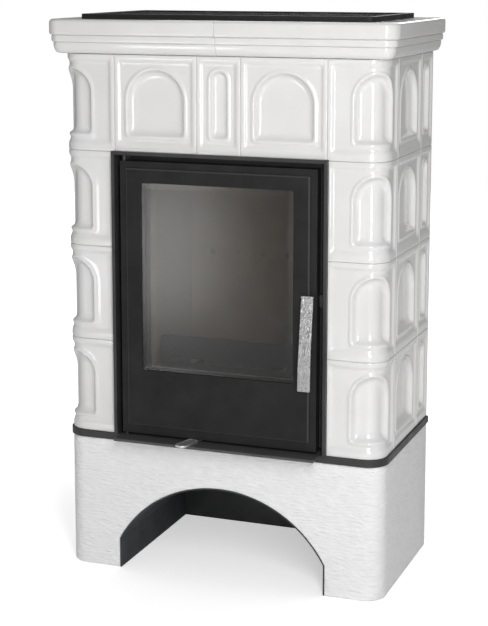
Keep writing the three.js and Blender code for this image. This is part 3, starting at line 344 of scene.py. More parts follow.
class NodeGroups:
    """Shader node groups that several finishes share. Each is built once."""

    def __init__(self) -> None:
        """Builds the groups."""
        self.mottle = self._mottle()
        self.speckle = self._speckle()
        self.waves = self._waves()

    @staticmethod
    def _group(name: str, inputs: Sequence[tuple[str, str, object]], outputs: Sequence[tuple[str, str]]):
        """Starts a group with named inputs and outputs.

        Args:
            name: The group's name.
            inputs: Name, socket type and default value of each input.
            outputs: Name and socket type of each output.

        Returns:
            The node tree, its input node and its output node.
        """
        tree = bpy.data.node_groups.new(name, "ShaderNodeTree")
        for label, kind, value in inputs:
            socket = tree.interface.new_socket(label, in_out="INPUT", socket_type=kind)
            socket.default_value = value
        for label, kind in outputs:
            tree.interface.new_socket(label, in_out="OUTPUT", socket_type=kind)
        return tree, tree.nodes.new("NodeGroupInput"), tree.nodes.new("NodeGroupOutput")

    def _mottle(self) -> bpy.types.ShaderNodeTree:
        """Two colours that drift into each other: noise in object space, spread about its middle."""
        tree, start, end = self._group(
            "mottle",
            [
                ("First", "NodeSocketColor", (1, 1, 1, 1)),
                ("Second", "NodeSocketColor", (0.5, 0.5, 0.5, 1)),
                ("Scale", "NodeSocketFloat", 10.0),
                ("Detail", "NodeSocketFloat", 4.0),
                ("Low", "NodeSocketFloat", 0.35),
                ("High", "NodeSocketFloat", 0.65),
            ],
            [("Color", "NodeSocketColor"), ("Value", "NodeSocketFloat")],
        )
        nodes, links = tree.nodes, tree.links
        place = nodes.new("ShaderNodeTexCoord")
        noise = nodes.new("ShaderNodeTexNoise")
        spread = nodes.new("ShaderNodeMapRange")
        mix = nodes.new("ShaderNodeMix")
        mix.data_type = "RGBA"
        wire(
            links,
            (place, "Object", noise, "Vector"),
            (start, "Scale", noise, "Scale"),
            (start, "Detail", noise, "Detail"),
            (noise, "Fac", spread, "Value"),
            (start, "Low", spread, "From Min"),
            (start, "High", spread, "From Max"),
            (spread, "Result", mix, "Factor"),
            (start, "First", mix, "A"),
            (start, "Second", mix, "B"),
            (mix, "Result", end, "Color"),
            (spread, "Result", end, "Value"),
        )
        return tree

    def _speckle(self) -> bpy.types.ShaderNodeTree:
        """A fine grain as a height: coarse and fine noise, added in a given share."""
        tree, start, end = self._group(
            "speckle",
            [
                ("Coarse Scale", "NodeSocketFloat", 60.0),
                ("Fine Scale", "NodeSocketFloat", 600.0),
                ("Fine Share", "NodeSocketFloat", 0.5),
            ],
            [("Height", "NodeSocketFloat")],
        )
        nodes, links = tree.nodes, tree.links
        place = nodes.new("ShaderNodeTexCoord")
        coarse = nodes.new("ShaderNodeTexNoise")
        fine = nodes.new("ShaderNodeTexNoise")
        fine.inputs["Detail"].default_value = 2.0
        mix = nodes.new("ShaderNodeMix")
        wire(
            links,
            (place, "Object", coarse, "Vector"),
            (place, "Object", fine, "Vector"),
            (start, "Coarse Scale", coarse, "Scale"),
            (start, "Fine Scale", fine, "Scale"),
            (start, "Fine Share", mix, "Factor"),
            (coarse, "Fac", mix, "A"),
            (fine, "Fac", mix, "B"),
            (mix, "Result", end, "Height"),
        )
        return tree

    def _waves(self) -> bpy.types.ShaderNodeTree:
        """Stretched noise as a height: the object's axes are scaled one by one before the noise."""
        tree, start, end = self._group(
            "waves",
            [("Stretch", "NodeSocketVector", (1.0, 1.0, 1.0)), ("Detail", "NodeSocketFloat", 3.0)],
            [("Height", "NodeSocketFloat")],
        )
        nodes, links = tree.nodes, tree.links
        place = nodes.new("ShaderNodeTexCoord")
        stretch = nodes.new("ShaderNodeVectorMath")
        stretch.operation = "MULTIPLY"
        noise = nodes.new("ShaderNodeTexNoise")
        noise.inputs["Scale"].default_value = 1.0
        wire(
            links,
            (place, "Object", stretch, 0),
            (start, "Stretch", stretch, 1),
            (stretch, "Vector", noise, "Vector"),
            (start, "Detail", noise, "Detail"),
            (noise, "Fac", end, "Height"),
        )
        return tree


class Wiring:
    """A material while it is wired: its Principled BSDF, and what feeds it."""

    def __init__(self, name: str) -> None:
        """Starts a material of that name."""
        self.material = bpy.data.materials.new(name)
        self.material.use_nodes = True
        self.tree = self.material.node_tree
        self.shader = self.tree.nodes["Principled BSDF"]

    def group(self, tree: bpy.types.ShaderNodeTree, values: dict[str, object]) -> bpy.types.ShaderNode:
        """Places a node group.

        Args:
            tree: The group.
            values: Its inputs by name.

        Returns:
            The group's node.
        """
        node = self.tree.nodes.new("ShaderNodeGroup")
        node.node_tree = tree
        for label, value in values.items():
            node.inputs[label].default_value = value
        return node

    def mottle(
        self, groups: NodeGroups, first: Colour, second: Colour, scale: float, detail: float
    ) -> bpy.types.ShaderNode:
        """Two colours that drift into each other."""
        return self.group(groups.mottle, {"First": first, "Second": second, "Scale": scale, "Detail": detail})

    def speckle(self, groups: NodeGroups, coarse: float, fine: float, share: float) -> bpy.types.ShaderNode:
        """A fine grain."""
        return self.group(groups.speckle, {"Coarse Scale": coarse, "Fine Scale": fine, "Fine Share": share})

    def waves(self, groups: NodeGroups, stretch: Place, detail: float) -> bpy.types.ShaderNode:
        """Stretched noise."""
        return self.group(groups.waves, {"Stretch": stretch, "Detail": detail})

    def set(self, **values: object) -> None:
        """Sets the shader's own sockets; an underscore in a name stands for a space."""
        for label, value in values.items():
            self.shader.inputs[label.replace("_", " ")].default_value = value

    def feed(self, output: bpy.types.NodeSocket, socket: str) -> None:
        """Feeds one of the shader's sockets."""
        self.tree.links.new(output, self.shader.inputs[socket])

    def ranged(self, output: bpy.types.NodeSocket, low: float, high: float, socket: str) -> None:
        """Feeds a 0 to 1 value to one of the shader's sockets, as a value from low to high.

        Args:
            output: The value.
            low: What 0 becomes.
            high: What 1 becomes.
            socket: The shader's socket.
        """
        node = self.tree.nodes.new("ShaderNodeMapRange")
        node.inputs["To Min"].default_value = low
        node.inputs["To Max"].default_value = high
        self.tree.links.new(output, node.inputs["Value"])
        self.feed(node.outputs["Result"], socket)

    def bumps(self, heights: Sequence[tuple[bpy.types.NodeSocket, float, float]]) -> None:
        """Chains Bump nodes into the shader's Normal.

        Args:
            heights: Each height's output, its depth in metres and its strength.
        """
        last = None
        for output, distance, strength in heights:
            bump = self.tree.nodes.new("ShaderNodeBump")
            bump.inputs["Distance"].default_value = distance
            bump.inputs["Strength"].default_value = strength
            self.tree.links.new(output, bump.inputs["Height"])
            if last is not None:
                self.tree.links.new(last.outputs["Normal"], bump.inputs["Normal"])
            last = bump
        self.feed(last.outputs["Normal"], "Normal")


@dataclass(frozen=True)
class Glaze:
    """White glossy glaze over clay: a soft drift of tone, and a skin that is never quite flat."""

    tone: float = 0.79
    shade: float = 0.75
    roughness: float = 0.13
    coat: float = 0.6

    def material(self, groups: NodeGroups) -> bpy.types.Material:
        """Wires the material."""
        wiring = Wiring("white_glaze")
        tone = wiring.mottle(groups, grey(self.tone, 0.006), grey(self.shade, 0.012), 7.0, 3.0)
        wiring.feed(tone.outputs["Color"], "Base Color")
        wiring.ranged(tone.outputs["Value"], self.roughness, self.roughness + 0.07, "Roughness")
        wiring.set(Coat_Weight=self.coat, Coat_Roughness=0.04, IOR=1.5)
        skin = wiring.speckle(groups, 28.0, 150.0, 0.25)
        wiring.bumps([(skin.outputs["Height"], 0.0005, 0.3)])
        return wiring.material


@dataclass(frozen=True)
class Render:
    """Matt white render on the plinth, combed in fine level waves."""

    tone: float = 0.92
    shade: float = 0.89
    comb_depth: float = 0.0050
    grain_depth: float = 0.0007

    def material(self, groups: NodeGroups) -> bpy.types.Material:
        """Wires the material."""
        wiring = Wiring("white_render")
        tone = wiring.mottle(groups, grey(self.tone), grey(self.shade), 45.0, 6.0)
        wiring.feed(tone.outputs["Color"], "Base Color")
        wiring.set(Roughness=0.92, IOR=1.45)
        comb = wiring.waves(groups, (52.0, 52.0, 200.0), 3.0)
        grain = wiring.speckle(groups, 260.0, 1400.0, 0.5)
        wiring.bumps(
            [(comb.outputs["Height"], self.comb_depth, 1.0), (grain.outputs["Height"], self.grain_depth, 0.8)]
        )
        return wiring.material


@dataclass(frozen=True)
class Coating:
    """A matt coat with a fine grain: stove paint, cast iron, fireclay or a plain steel sheet."""

    name: str
    tone: Colour
    shade: Colour
    roughness: float
    metallic: float = 0.0
    drift: float = 18.0
    coarse: float = 120.0
    fine: float = 1500.0
    fine_share: float = 0.6
    grain_depth: float = 0.0003
    strength: float = 0.5
    roughness_spread: float = 0.1
    specular: float = 0.5
    # The lighter colour that the point attribute mixes in: rubbed paint and a painted edge highlight.
    worn_highlight: Colour | None = None

    def material(self, groups: NodeGroups) -> bpy.types.Material:
        """Wires the material."""
        wiring = Wiring(self.name)
        tone = wiring.mottle(groups, self.tone, self.shade, self.drift, 6.0)
        if self.worn_highlight is None:
            wiring.feed(tone.outputs["Color"], "Base Color")
        # Mixes in the lighter colour by the point attribute: rubbed paint and a painted edge highlight.
        else:
            wear_and_highlight = wiring.tree.nodes.new("ShaderNodeAttribute")
            wear_and_highlight.attribute_name = "wear_and_highlight"
            rubbed_highlit = wiring.tree.nodes.new("ShaderNodeMix")
            rubbed_highlit.data_type = "RGBA"
            rubbed_highlit.inputs["B"].default_value = self.worn_highlight
            wiring.tree.links.new(wear_and_highlight.outputs["Fac"], rubbed_highlit.inputs["Factor"])
            wiring.tree.links.new(tone.outputs["Color"], rubbed_highlit.inputs["A"])
            wiring.feed(rubbed_highlit.outputs["Result"], "Base Color")
        wiring.ranged(
            tone.outputs["Value"], self.roughness, self.roughness + self.roughness_spread, "Roughness"
        )
        wiring.set(Metallic=self.metallic, Specular_IOR_Level=self.specular)
        grain = wiring.speckle(groups, self.coarse, self.fine, self.fine_share)
        wiring.bumps([(grain.outputs["Height"], self.grain_depth, self.strength)])
        return wiring.material


@dataclass(frozen=True)
class BrightMetal:
    """Bright metal with a brushed grain along one axis, and hammered dimples if asked."""

    name: str
    tone: float
    roughness: float
    stretch: Place
    brush_depth: float = 0.00004
    dimple_depth: float = 0.0
    dimple_scale: float = 120.0

    def material(self, groups: NodeGroups) -> bpy.types.Material:
        """Wires the material."""
        wiring = Wiring(self.name)
        tone = wiring.mottle(groups, grey(self.tone), grey(self.tone * 0.86), 60.0, 3.0)
        wiring.feed(tone.outputs["Color"], "Base Color")
        wiring.set(Metallic=1.0)
        brush = wiring.waves(groups, self.stretch, 2.0)
        wiring.ranged(brush.outputs["Height"], self.roughness - 0.05, self.roughness + 0.1, "Roughness")
        heights = [(brush.outputs["Height"], self.brush_depth, 0.4)]
        if self.dimple_depth > 0:
            dimples = wiring.speckle(groups, self.dimple_scale, 2.5 * self.dimple_scale, 0.3)
            heights.append((dimples.outputs["Height"], self.dimple_depth, 1.0))
        wiring.bumps(heights)
        return wiring.material


@dataclass(frozen=True)
class SmokedGlass:
    """The door's ceramic glass: smoked, a little brown, with a faint film of soot."""

    tint: Colour = (0.26, 0.25, 0.24, 1.0)

    def material(self, groups: NodeGroups) -> bpy.types.Material:
        """Wires the material."""
        wiring = Wiring("door_glass")
        wiring.set(Base_Color=self.tint, IOR=1.03, Transmission_Weight=1.0, Metallic=0.0)
        wiring.set(Coat_Weight=1.0, Coat_IOR=1.5, Coat_Roughness=0.2)
        film = wiring.mottle(groups, grey(1.0), grey(0.0), 5.0, 2.0)
        wiring.ranged(film.outputs["Value"], 0.0, 0.05, "Roughness")
        return wiring.material


@dataclass(frozen=True)
class RopeSeal:
    """Braided glass rope: two families of slanted strands that cross."""

    tone: float = 0.09

    def material(self, groups: NodeGroups) -> bpy.types.Material:
        """Wires the material."""
        wiring = Wiring("rope_seal")
        tone = wiring.mottle(groups, grey(self.tone), grey(0.5 * self.tone), 500.0, 3.0)
        wiring.feed(tone.outputs["Color"], "Base Color")
        wiring.set(Roughness=0.95, Sheen_Weight=0.3)
        one = wiring.waves(groups, (900.0, 500.0, 900.0), 2.0)
        wiring.bumps([(one.outputs["Height"], 0.001, 1.0)])
        return wiring.material


class Palette:
    """Every finish on the stove, as Blender materials."""

    def __init__(self) -> None:
        """Builds the materials."""
        groups = NodeGroups()
        self.glaze = Glaze().material(groups)
        self.render = Render().material(groups)
        black = {"tone": grey(0.016), "shade": grey(0.011), "roughness": 0.52, "specular": 0.26}
        self.paint = Coating("black_paint", **black).material(groups)
        # A lighter copy of the black paint for the door plate's edges: rubbed paint and a painted edge
        # highlight.
        self.rubbed_highlit_paint = Coating("black_paint_rubbed_highlit", **black, worn_highlight=grey(0.045)).material(groups)
        self.sheet_paint = Coating(
            "black_sheet_paint", grey(0.040), grey(0.030), 0.40, specular=0.45
        ).material(groups)
        # A lighter copy of the black paint for the sill: painted sheen on its top face.
        self.sill_sheen_paint = Coating("black_sill_paint_painted_sheen", grey(0.075), grey(0.058), 0.45).material(groups)
        self.steel = Coating(
            "grey_steel", grey(0.075, -0.02), grey(0.055, -0.03), 0.42, metallic=0.7
        ).material(groups)
        self.vault = Coating(
            "vault_paint", grey(0.052, -0.10), grey(0.042, -0.12), 0.5, metallic=0.1, strength=0.3
        ).material(groups)
        self.iron = Coating(
            "cast_iron", grey(0.018), grey(0.012), 0.55, metallic=0.2, coarse=300.0, grain_depth=0.0006
        ).material(groups)
        self.fireclay = Coating(
            "fireclay",
            (0.60, 0.49, 0.34, 1.0),
            (0.48, 0.38, 0.26, 1.0),
            0.9,
            drift=24.0,
            coarse=90.0,
            fine=700.0,
            grain_depth=0.0008,
            strength=0.35,
            roughness_spread=0.05,
        ).material(groups)
        self.glass = SmokedGlass().material(groups)
        self.rope = RopeSeal().material(groups)
        self.hammered = BrightMetal(
            "stainless", 0.52, 0.24, (420.0, 420.0, 24.0), 0.00008, dimple_depth=0.0010, dimple_scale=520.0
        ).material(groups)
        self.chrome = BrightMetal("chrome", 0.92, 0.46, (400.0, 60.0, 400.0), 0.00004).material(groups)
        self.zinc = BrightMetal("zinc_screw", 0.5, 0.35, (500.0, 500.0, 500.0)).material(groups)


# ---------------------------------------------------------------------------------------------
# Sizes read from the frame
# ---------------------------------------------------------------------------------------------


@dataclass(frozen=True)
class Frame:
    """Planes and lines of the stove that several sub-assemblies share, read from the CAD boxes."""

    half_width: float
    front: float
    back: float
    joint: float = 0.0005
    corner_radius: float = 0.042
    corner_front_leg: float = 0.123
    corner_side_leg: float = 0.089

    @classmethod
    def read(cls) -> "Frame":
        """Reads the boxes of a corner tile and of the last tile at the back."""
        low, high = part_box("corner_tile_right_1")
        return cls(half_width=high.x, front=low.y, back=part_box("narrow_tile_right_1")[1].y + cls.joint / 2)


# ---------------------------------------------------------------------------------------------
# Glazed tiles
# ---------------------------------------------------------------------------------------------


class Wall(Enum):
    """The wall that a flat tile stands in."""

    FRONT = "front"
    RIGHT = "right"
    LEFT = "left"


def wall_line(wall: Wall, origin: tuple[float, float]) -> PlanLine:
    """The plan line of a flat tile.

    Args:
        wall: The wall that it stands in.
        origin: Where the line starts, on the tiles' face.

    Returns:
        A function from the distance along the line and the reach out of it to X and Y.
    """
    along, outward = {
        Wall.FRONT: ((1, 0), (0, -1)),
        Wall.RIGHT: ((0, 1), (1, 0)),
        Wall.LEFT: ((0, -1), (-1, 0)),
    }[wall]

    def at(s: Array, out: Array) -> tuple[Array, Array]:
        """A point at the distance s along the line, and out of it by the reach."""
        return origin[0] + s * along[0] + out * outward[0], origin[1] + s * along[1] + out * outward[1]

    return at


def corner_line(size: Frame, side: int) -> tuple[PlanLine, float]:
    """The plan line of a corner tile: along the front, round a quarter circle and back along the side.

    Deeper than the corner's radius, the two sides meet in a mitre. The left line is the right one
    seen in a mirror and walked from its other end.

    Args:
        size: The stove's shared sizes.
        side: 1 for the right corner, -1 for the left one.

    Returns:
        The line, and its length on the tiles' face.
    """
    start = size.corner_front_leg - size.corner_radius
    arc = QUARTER * size.corner_radius
    length = start + arc + size.corner_side_leg - size.corner_radius

    def at(s: Array, out: Array) -> tuple[Array, Array]:
        """A point at the distance s along the line, and out of it by the reach."""
        s, out = np.broadcast_arrays(s if side > 0 else length - s, out)
        mitre = np.maximum(size.corner_radius, -out)
        bend = np.maximum(size.corner_radius + out, 0)
        angle = np.clip((s - start) / size.corner_radius, 0, QUARTER)
        front, behind = s <= start, s >= start + arc
        x = np.where(front, np.minimum(s - size.corner_front_leg, -mitre), -mitre + bend * np.sin(angle))
        y = np.where(front, -out, mitre - bend * np.cos(angle))
        x = np.where(behind, out, x)
        y = np.where(behind, np.maximum(size.corner_radius + s - start - arc, mitre), y)
        return side * (size.half_width + x), size.front + y

    return at, length


@dataclass(frozen=True)
class TileRelief:
    """The moulding of every tile, in millimetres.

    The border's rows give the inset from the sides, the top and the bottom, and the reach. The rim's
    rows give the distance inside the niche's outline, the foot's height over the tile's edge, and the
    reach: a soft roll round the niche, a steep wall, and a splayed foot.
    """

    border: Rows = (
        (0.0, 0.0, 0.0, -1.9),
        (0.35, 0.35, 0.35, -1.0),
        (1.2, 1.2, 1.2, -0.4),
        (3.2, 3.2, 3.2, -0.05),
        (5.5, 6.5, 9.0, 0.0),
        (8.0, 9.5, 14.5, -0.45),
        (10.5, 12.5, 18.5, -1.7),
        (13.0, 15.5, 21.5, -3.2),
        (15.5, 18.5, 24.5, -4.0),
    )
    rim: Rows = (
        (-9.5, 25.5, -4.0),
        (-8.0, 27.0, -3.7),
        (-5.5, 29.5, -2.6),
        (-3.0, 32.0, -1.8),
        (-0.6, 34.5, -2.3),
        (1.4, 36.5, -4.4),
        (3.4, 38.8, -7.6),
        (6.2, 42.0, -11.0),
        (10.2, 46.5, -13.4),
        (15.0, 52.5, -14.6),
        (21.0, 60.0, -15.0),
    )
    niche_top: float = 30.0
    least_floor: float = 3.0
    border_round: float = 9.0
    foot_round: float = 9.0
    foot_fade: float = 30.0
    face_depth: float = 26.0
    tile_depth: float = 40.0
    collar_inset: float = 8.0
    collar_wall: float = 9.0
    hollow_reach: float = 23.0


@dataclass(frozen=True)
class NicheTile:
    """A glazed tile with a round-headed niche, on a plan line."""

    node: str
    line: PlanLine
    length: float
    niche: tuple[float, float]
    joint: float
    relief: TileRelief = TileRelief()
    foot_steps: int = 20
    side_steps: int = 12
    head_steps: int = 44
    floor_steps: int = 5

    def _spokes(self, height: float) -> tuple[Array, Array, Array]:
        """The places round the tile: along the foot, up the right side, over the head, down the left.

        The foot and the sides are closer together near the foot's corners, and the head's angles near
        the tile's upper corners.

        Args:
            height: The tile's height in metres.

        Returns:
            The foot's and the side's shares from 0 to 1, and the head's angles.
        """
        foot = (1 - np.cos(np.pi * np.arange(self.foot_steps) / self.foot_steps)) / 2
        side = 1 - np.cos(QUARTER * np.arange(self.side_steps) / self.side_steps)
        middle, radius, spring = self._arch(height)
        near = np.array([-0.05, -0.03, -0.015, 0.0, 0.015, 0.03, 0.05])
        right = math.atan2(height - spring, self.length - self.joint / 2 - middle) + near
        left = np.pi - math.atan2(height - spring, middle - self.joint / 2) + near
        head = np.unique(np.concatenate([np.linspace(0, np.pi, self.head_steps + 1), right, left]))
        return foot, side, head

    def _arch(self, height: float) -> tuple[float, float, float]:
        """The niche's middle, its half width and the height at which its round head starts."""
        middle = sum(self.niche) / 2
        radius = (self.niche[1] - self.niche[0]) / 2
        return middle, radius, height - self.relief.niche_top * MM - radius

    def _border_ring(self, insets: Array, height: float, round_by: float) -> Array:
        """One ring of the border: a rectangle whose corners are rounded.

        The head's points lie where rays from the niche's centre meet the rectangle, so each ring's
        points stand opposite those of the niche. A point in a corner's square moves onto its arc.

        Args:
            insets: From the sides, the top and the bottom, in metres.
            height: The tile's height.
            round_by: Radius of the corners.

        Returns:
            Distance along the line and height, by point.
        """
        foot, side, head = self._spokes(height)
        middle, _, spring = self._arch(height)
        left, right = self.joint / 2 + insets[0], self.length - self.joint / 2 - insets[0]
        low, high = insets[2], height - insets[1]
        cos, sin = np.cos(head), np.sin(head)
        limit = np.where(cos > 0, right - middle, left - middle)
        with np.errstate(divide="ignore", invalid="ignore"):
            stretch = np.fmin(np.abs(limit / cos), np.abs((high - spring) / sin))
        s = np.concatenate(
            [
                left + (right - left) * foot,
                np.full(len(side), right),
                middle + stretch * cos,
                np.full(len(side) - 1, left),
            ]
        )
        z = np.concatenate(
            [
                np.full(len(foot), low),
                low + (spring - low) * side,
                spring + stretch * sin,
                low + (spring - low) * side[:0:-1],
            ]
        )
        return self._rounded(s, z, (left, right, low, high), round_by, round_by)

    @staticmethod
    def _rounded(
        s: Array, z: Array, edges: tuple[float, float, float, float], foot_by: float, head_by: float
    ) -> Array:
        """Moves the points in a rectangle's corner squares onto arcs.

        Args:
            s: Distances along the line.
            z: Heights.
            edges: The rectangle's left, right, lower and upper edge.
            foot_by: Radius of the lower corners.
            head_by: Radius of the upper corners, or 0 to leave them.

        Returns:
            Distance along the line and height, by point.
        """
        left, right, low, high = edges
        radius = np.where(z < (low + high) / 2, foot_by, head_by)
        centre_s = np.clip(s, left + radius, right - radius)
        centre_z = np.clip(z, low + foot_by, high - head_by) if head_by > 0 else np.maximum(z, low + foot_by)
        ds, dz = s - centre_s, z - centre_z
        corner = (np.abs(ds) > TINY) & (np.abs(dz) > TINY)
        scale = np.where(corner, radius / np.maximum(np.hypot(ds, dz), TINY), 1.0)
        return np.stack([centre_s + ds * scale, centre_z + dz * scale], -1)

    def _niche_ring(self, inside: float, foot_at: float, height: float, round_by: float) -> Array:
        """One ring of the niche: a straight foot and sides, and half a circle over them.

        Args:
            inside: Distance inside the niche's outline.
            foot_at: Height of the ring's foot.
            height: The tile's height.
            round_by: Radius of the foot's corners.

        Returns:
            Distance along the line and height, by point.
        """
        foot, side, head = self._spokes(height)
        middle, radius, spring = self._arch(height)
        radius = radius - inside
        s = np.concatenate(
            [
                middle - radius + 2 * radius * foot,
                np.full(len(side), middle + radius),
                middle + radius * np.cos(head),
                np.full(len(side) - 1, middle - radius),
            ]
        )
        z = np.concatenate(
            [
                np.full(len(foot), foot_at),
                foot_at + (spring - foot_at) * side,
                spring + radius * np.sin(head),
                foot_at + (spring - foot_at) * side[:0:-1],
            ]
        )
        lower = z < spring - TINY
        rounded = self._rounded(s, z, (middle - radius, middle + radius, foot_at, spring), round_by, 0.0)
        return np.where(lower[:, None], rounded, np.stack([s, z], -1))

    def rings(self, height: float) -> Array:
        """All rings, from the back of the collar's hollow round the edge to the niche's middle.

        Args:
            height: The tile's height in metres.

        Returns:
            Distance along the line, height and reach, by ring and by point.
        """
        form = self.relief
        made: list[Array] = []

        def add(ring: Array, reach: float) -> None:
            """Keeps a ring at a reach."""
            made.append(np.column_stack([ring, np.full(len(ring), reach)]))

        def flat(inset: float) -> Array:
            """A border ring with the same inset all round and sharp corners."""
            return self._border_ring(np.full(3, inset * MM), height, 0.0)

        hollow = form.collar_inset + form.collar_wall
        back = flat(hollow)
        middle, half, spring = self._arch(height)
        closing = np.column_stack([np.full(len(back), middle), np.full(len(back), height / 2)])
        for share in np.linspace(0.0, 1.0, 4):
            add(closing + (back - closing) * share, -form.hollow_reach * MM)
        add(back, -form.tile_depth * MM)
        add(flat(form.collar_inset), -form.tile_depth * MM)
        add(flat(form.collar_inset), -form.face_depth * MM)
        add(flat(0.0), -form.face_depth * MM)

        border = smooth_rows(form.border, 3) * MM
        for side, top, bottom, reach in border:
            round_by = form.border_round * MM * min(1.0, side / (form.border[-1][0] * MM))
            add(self._border_ring(np.array([side, top, bottom]), height, round_by), reach)
        rim = smooth_rows(form.rim, 3) * MM
        room = (half - form.least_floor * MM) / rim[-1][0]
        rim[:, 0] = np.where(rim[:, 0] > 0, rim[:, 0] * min(1.0, room), rim[:, 0])
        outer = made[-1][:, :2]
        first = self._niche_ring(rim[0][0], rim[0][1], height, form.foot_round * MM)
        for share in (0.25, 0.5, 0.75):
            add(outer + (first - outer) * share, rim[0][2])
        for inside, foot_at, reach in rim:
            round_by = form.foot_round * MM * (1 - inside / (form.foot_fade * MM))
            add(self._niche_ring(inside, foot_at, height, round_by), reach)
        last = made[-1][:, :2]
        spine_foot = rim[-1][1] + half - rim[-1][0]
        spine = np.column_stack([np.full(len(last), middle), np.clip(last[:, 1], spine_foot, spring)])
        for share in np.linspace(0.8, 0.0, self.floor_steps):
            add(spine + (last - spine) * share, rim[-1][2])
        return np.stack(made)

    def build(self, material: bpy.types.Material) -> bpy.types.Object:
        """Makes the tile and puts it in its node's place.

        Args:
            material: The glaze.

        Returns:
            The tile.
        """
        low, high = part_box(self.node)
        rings = self.rings(high.z - low.z)
        x, y = self.line(rings[..., 0], rings[..., 2])
        points = np.stack([x, y, low.z + rings[..., 1]], -1)
        triangles = grid_triangles(*points.shape[:2])
        piece = new_piece(f"glazed_{self.node}", points.reshape(-1, 3), triangles, 55.0)
        return dressed(piece, material, "root", [self.node])


@dataclass(frozen=True)
class TileJacket:
    """The glazed tiles: four rows round the stove, and three tiles over the door."""

    size: Frame
    rows: int = 4
    arch_margin: float = 0.029
    narrow_margin: float = 0.030
    corner_front_margin: float = 0.055
    corner_side_margin: float = 0.039

    def _flat(self, node: str, wall: Wall, margin: float) -> NicheTile:
        """A flat tile on the line that its node's box gives.

        Args:
            node: The tile's node.
            wall: The wall that it stands in.
            margin: From the tile's edge to its niche.

        Returns:
            The tile.
        """
        low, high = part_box(node)
        half_joint = self.size.joint / 2
        origin = {
            Wall.FRONT: (low.x - half_joint, self.size.front),
            Wall.RIGHT: (self.size.half_width, low.y - half_joint),
            Wall.LEFT: (-self.size.half_width, high.y + half_joint),
        }[wall]
        across = high.x - low.x if wall is Wall.FRONT else high.y - low.y
        length = across + self.size.joint
        niche = (margin, length - margin)
        return NicheTile(node, wall_line(wall, origin), length, niche, self.size.joint)

    def _corner(self, node: str, side: int) -> NicheTile:
        """A corner tile; side is 1 on the right and -1 on the left."""
        line, length = corner_line(self.size, side)
        niche = (self.corner_front_margin, length - self.corner_side_margin)
        if side < 0:
            niche = (self.corner_side_margin, length - self.corner_front_margin)
        return NicheTile(node, line, length, niche, self.size.joint, floor_steps=9, head_steps=60)

    def build(self, palette: Palette) -> None:
        """Makes every tile."""
        tiles = [self._flat("narrow_tile_front", Wall.FRONT, self.narrow_margin)]
        tiles += [self._flat(f"arch_tile_front_{s}", Wall.FRONT, self.arch_margin) for s in ("left", "right")]
        for row in range(1, self.rows + 1):
            for wall in (Wall.RIGHT, Wall.LEFT):
                tiles.append(self._flat(f"arch_tile_{wall.value}_{row}", wall, self.arch_margin))
                tiles.append(self._flat(f"narrow_tile_{wall.value}_{row}", wall, self.narrow_margin))
            tiles.append(self._corner(f"corner_tile_right_{row}", 1))
            tiles.append(self._corner(f"corner_tile_left_{row}", -1))
        for tile in tiles:
            tile.build(palette.glaze)


# ---------------------------------------------------------------------------------------------
# Cornice and top grille
# ---------------------------------------------------------------------------------------------


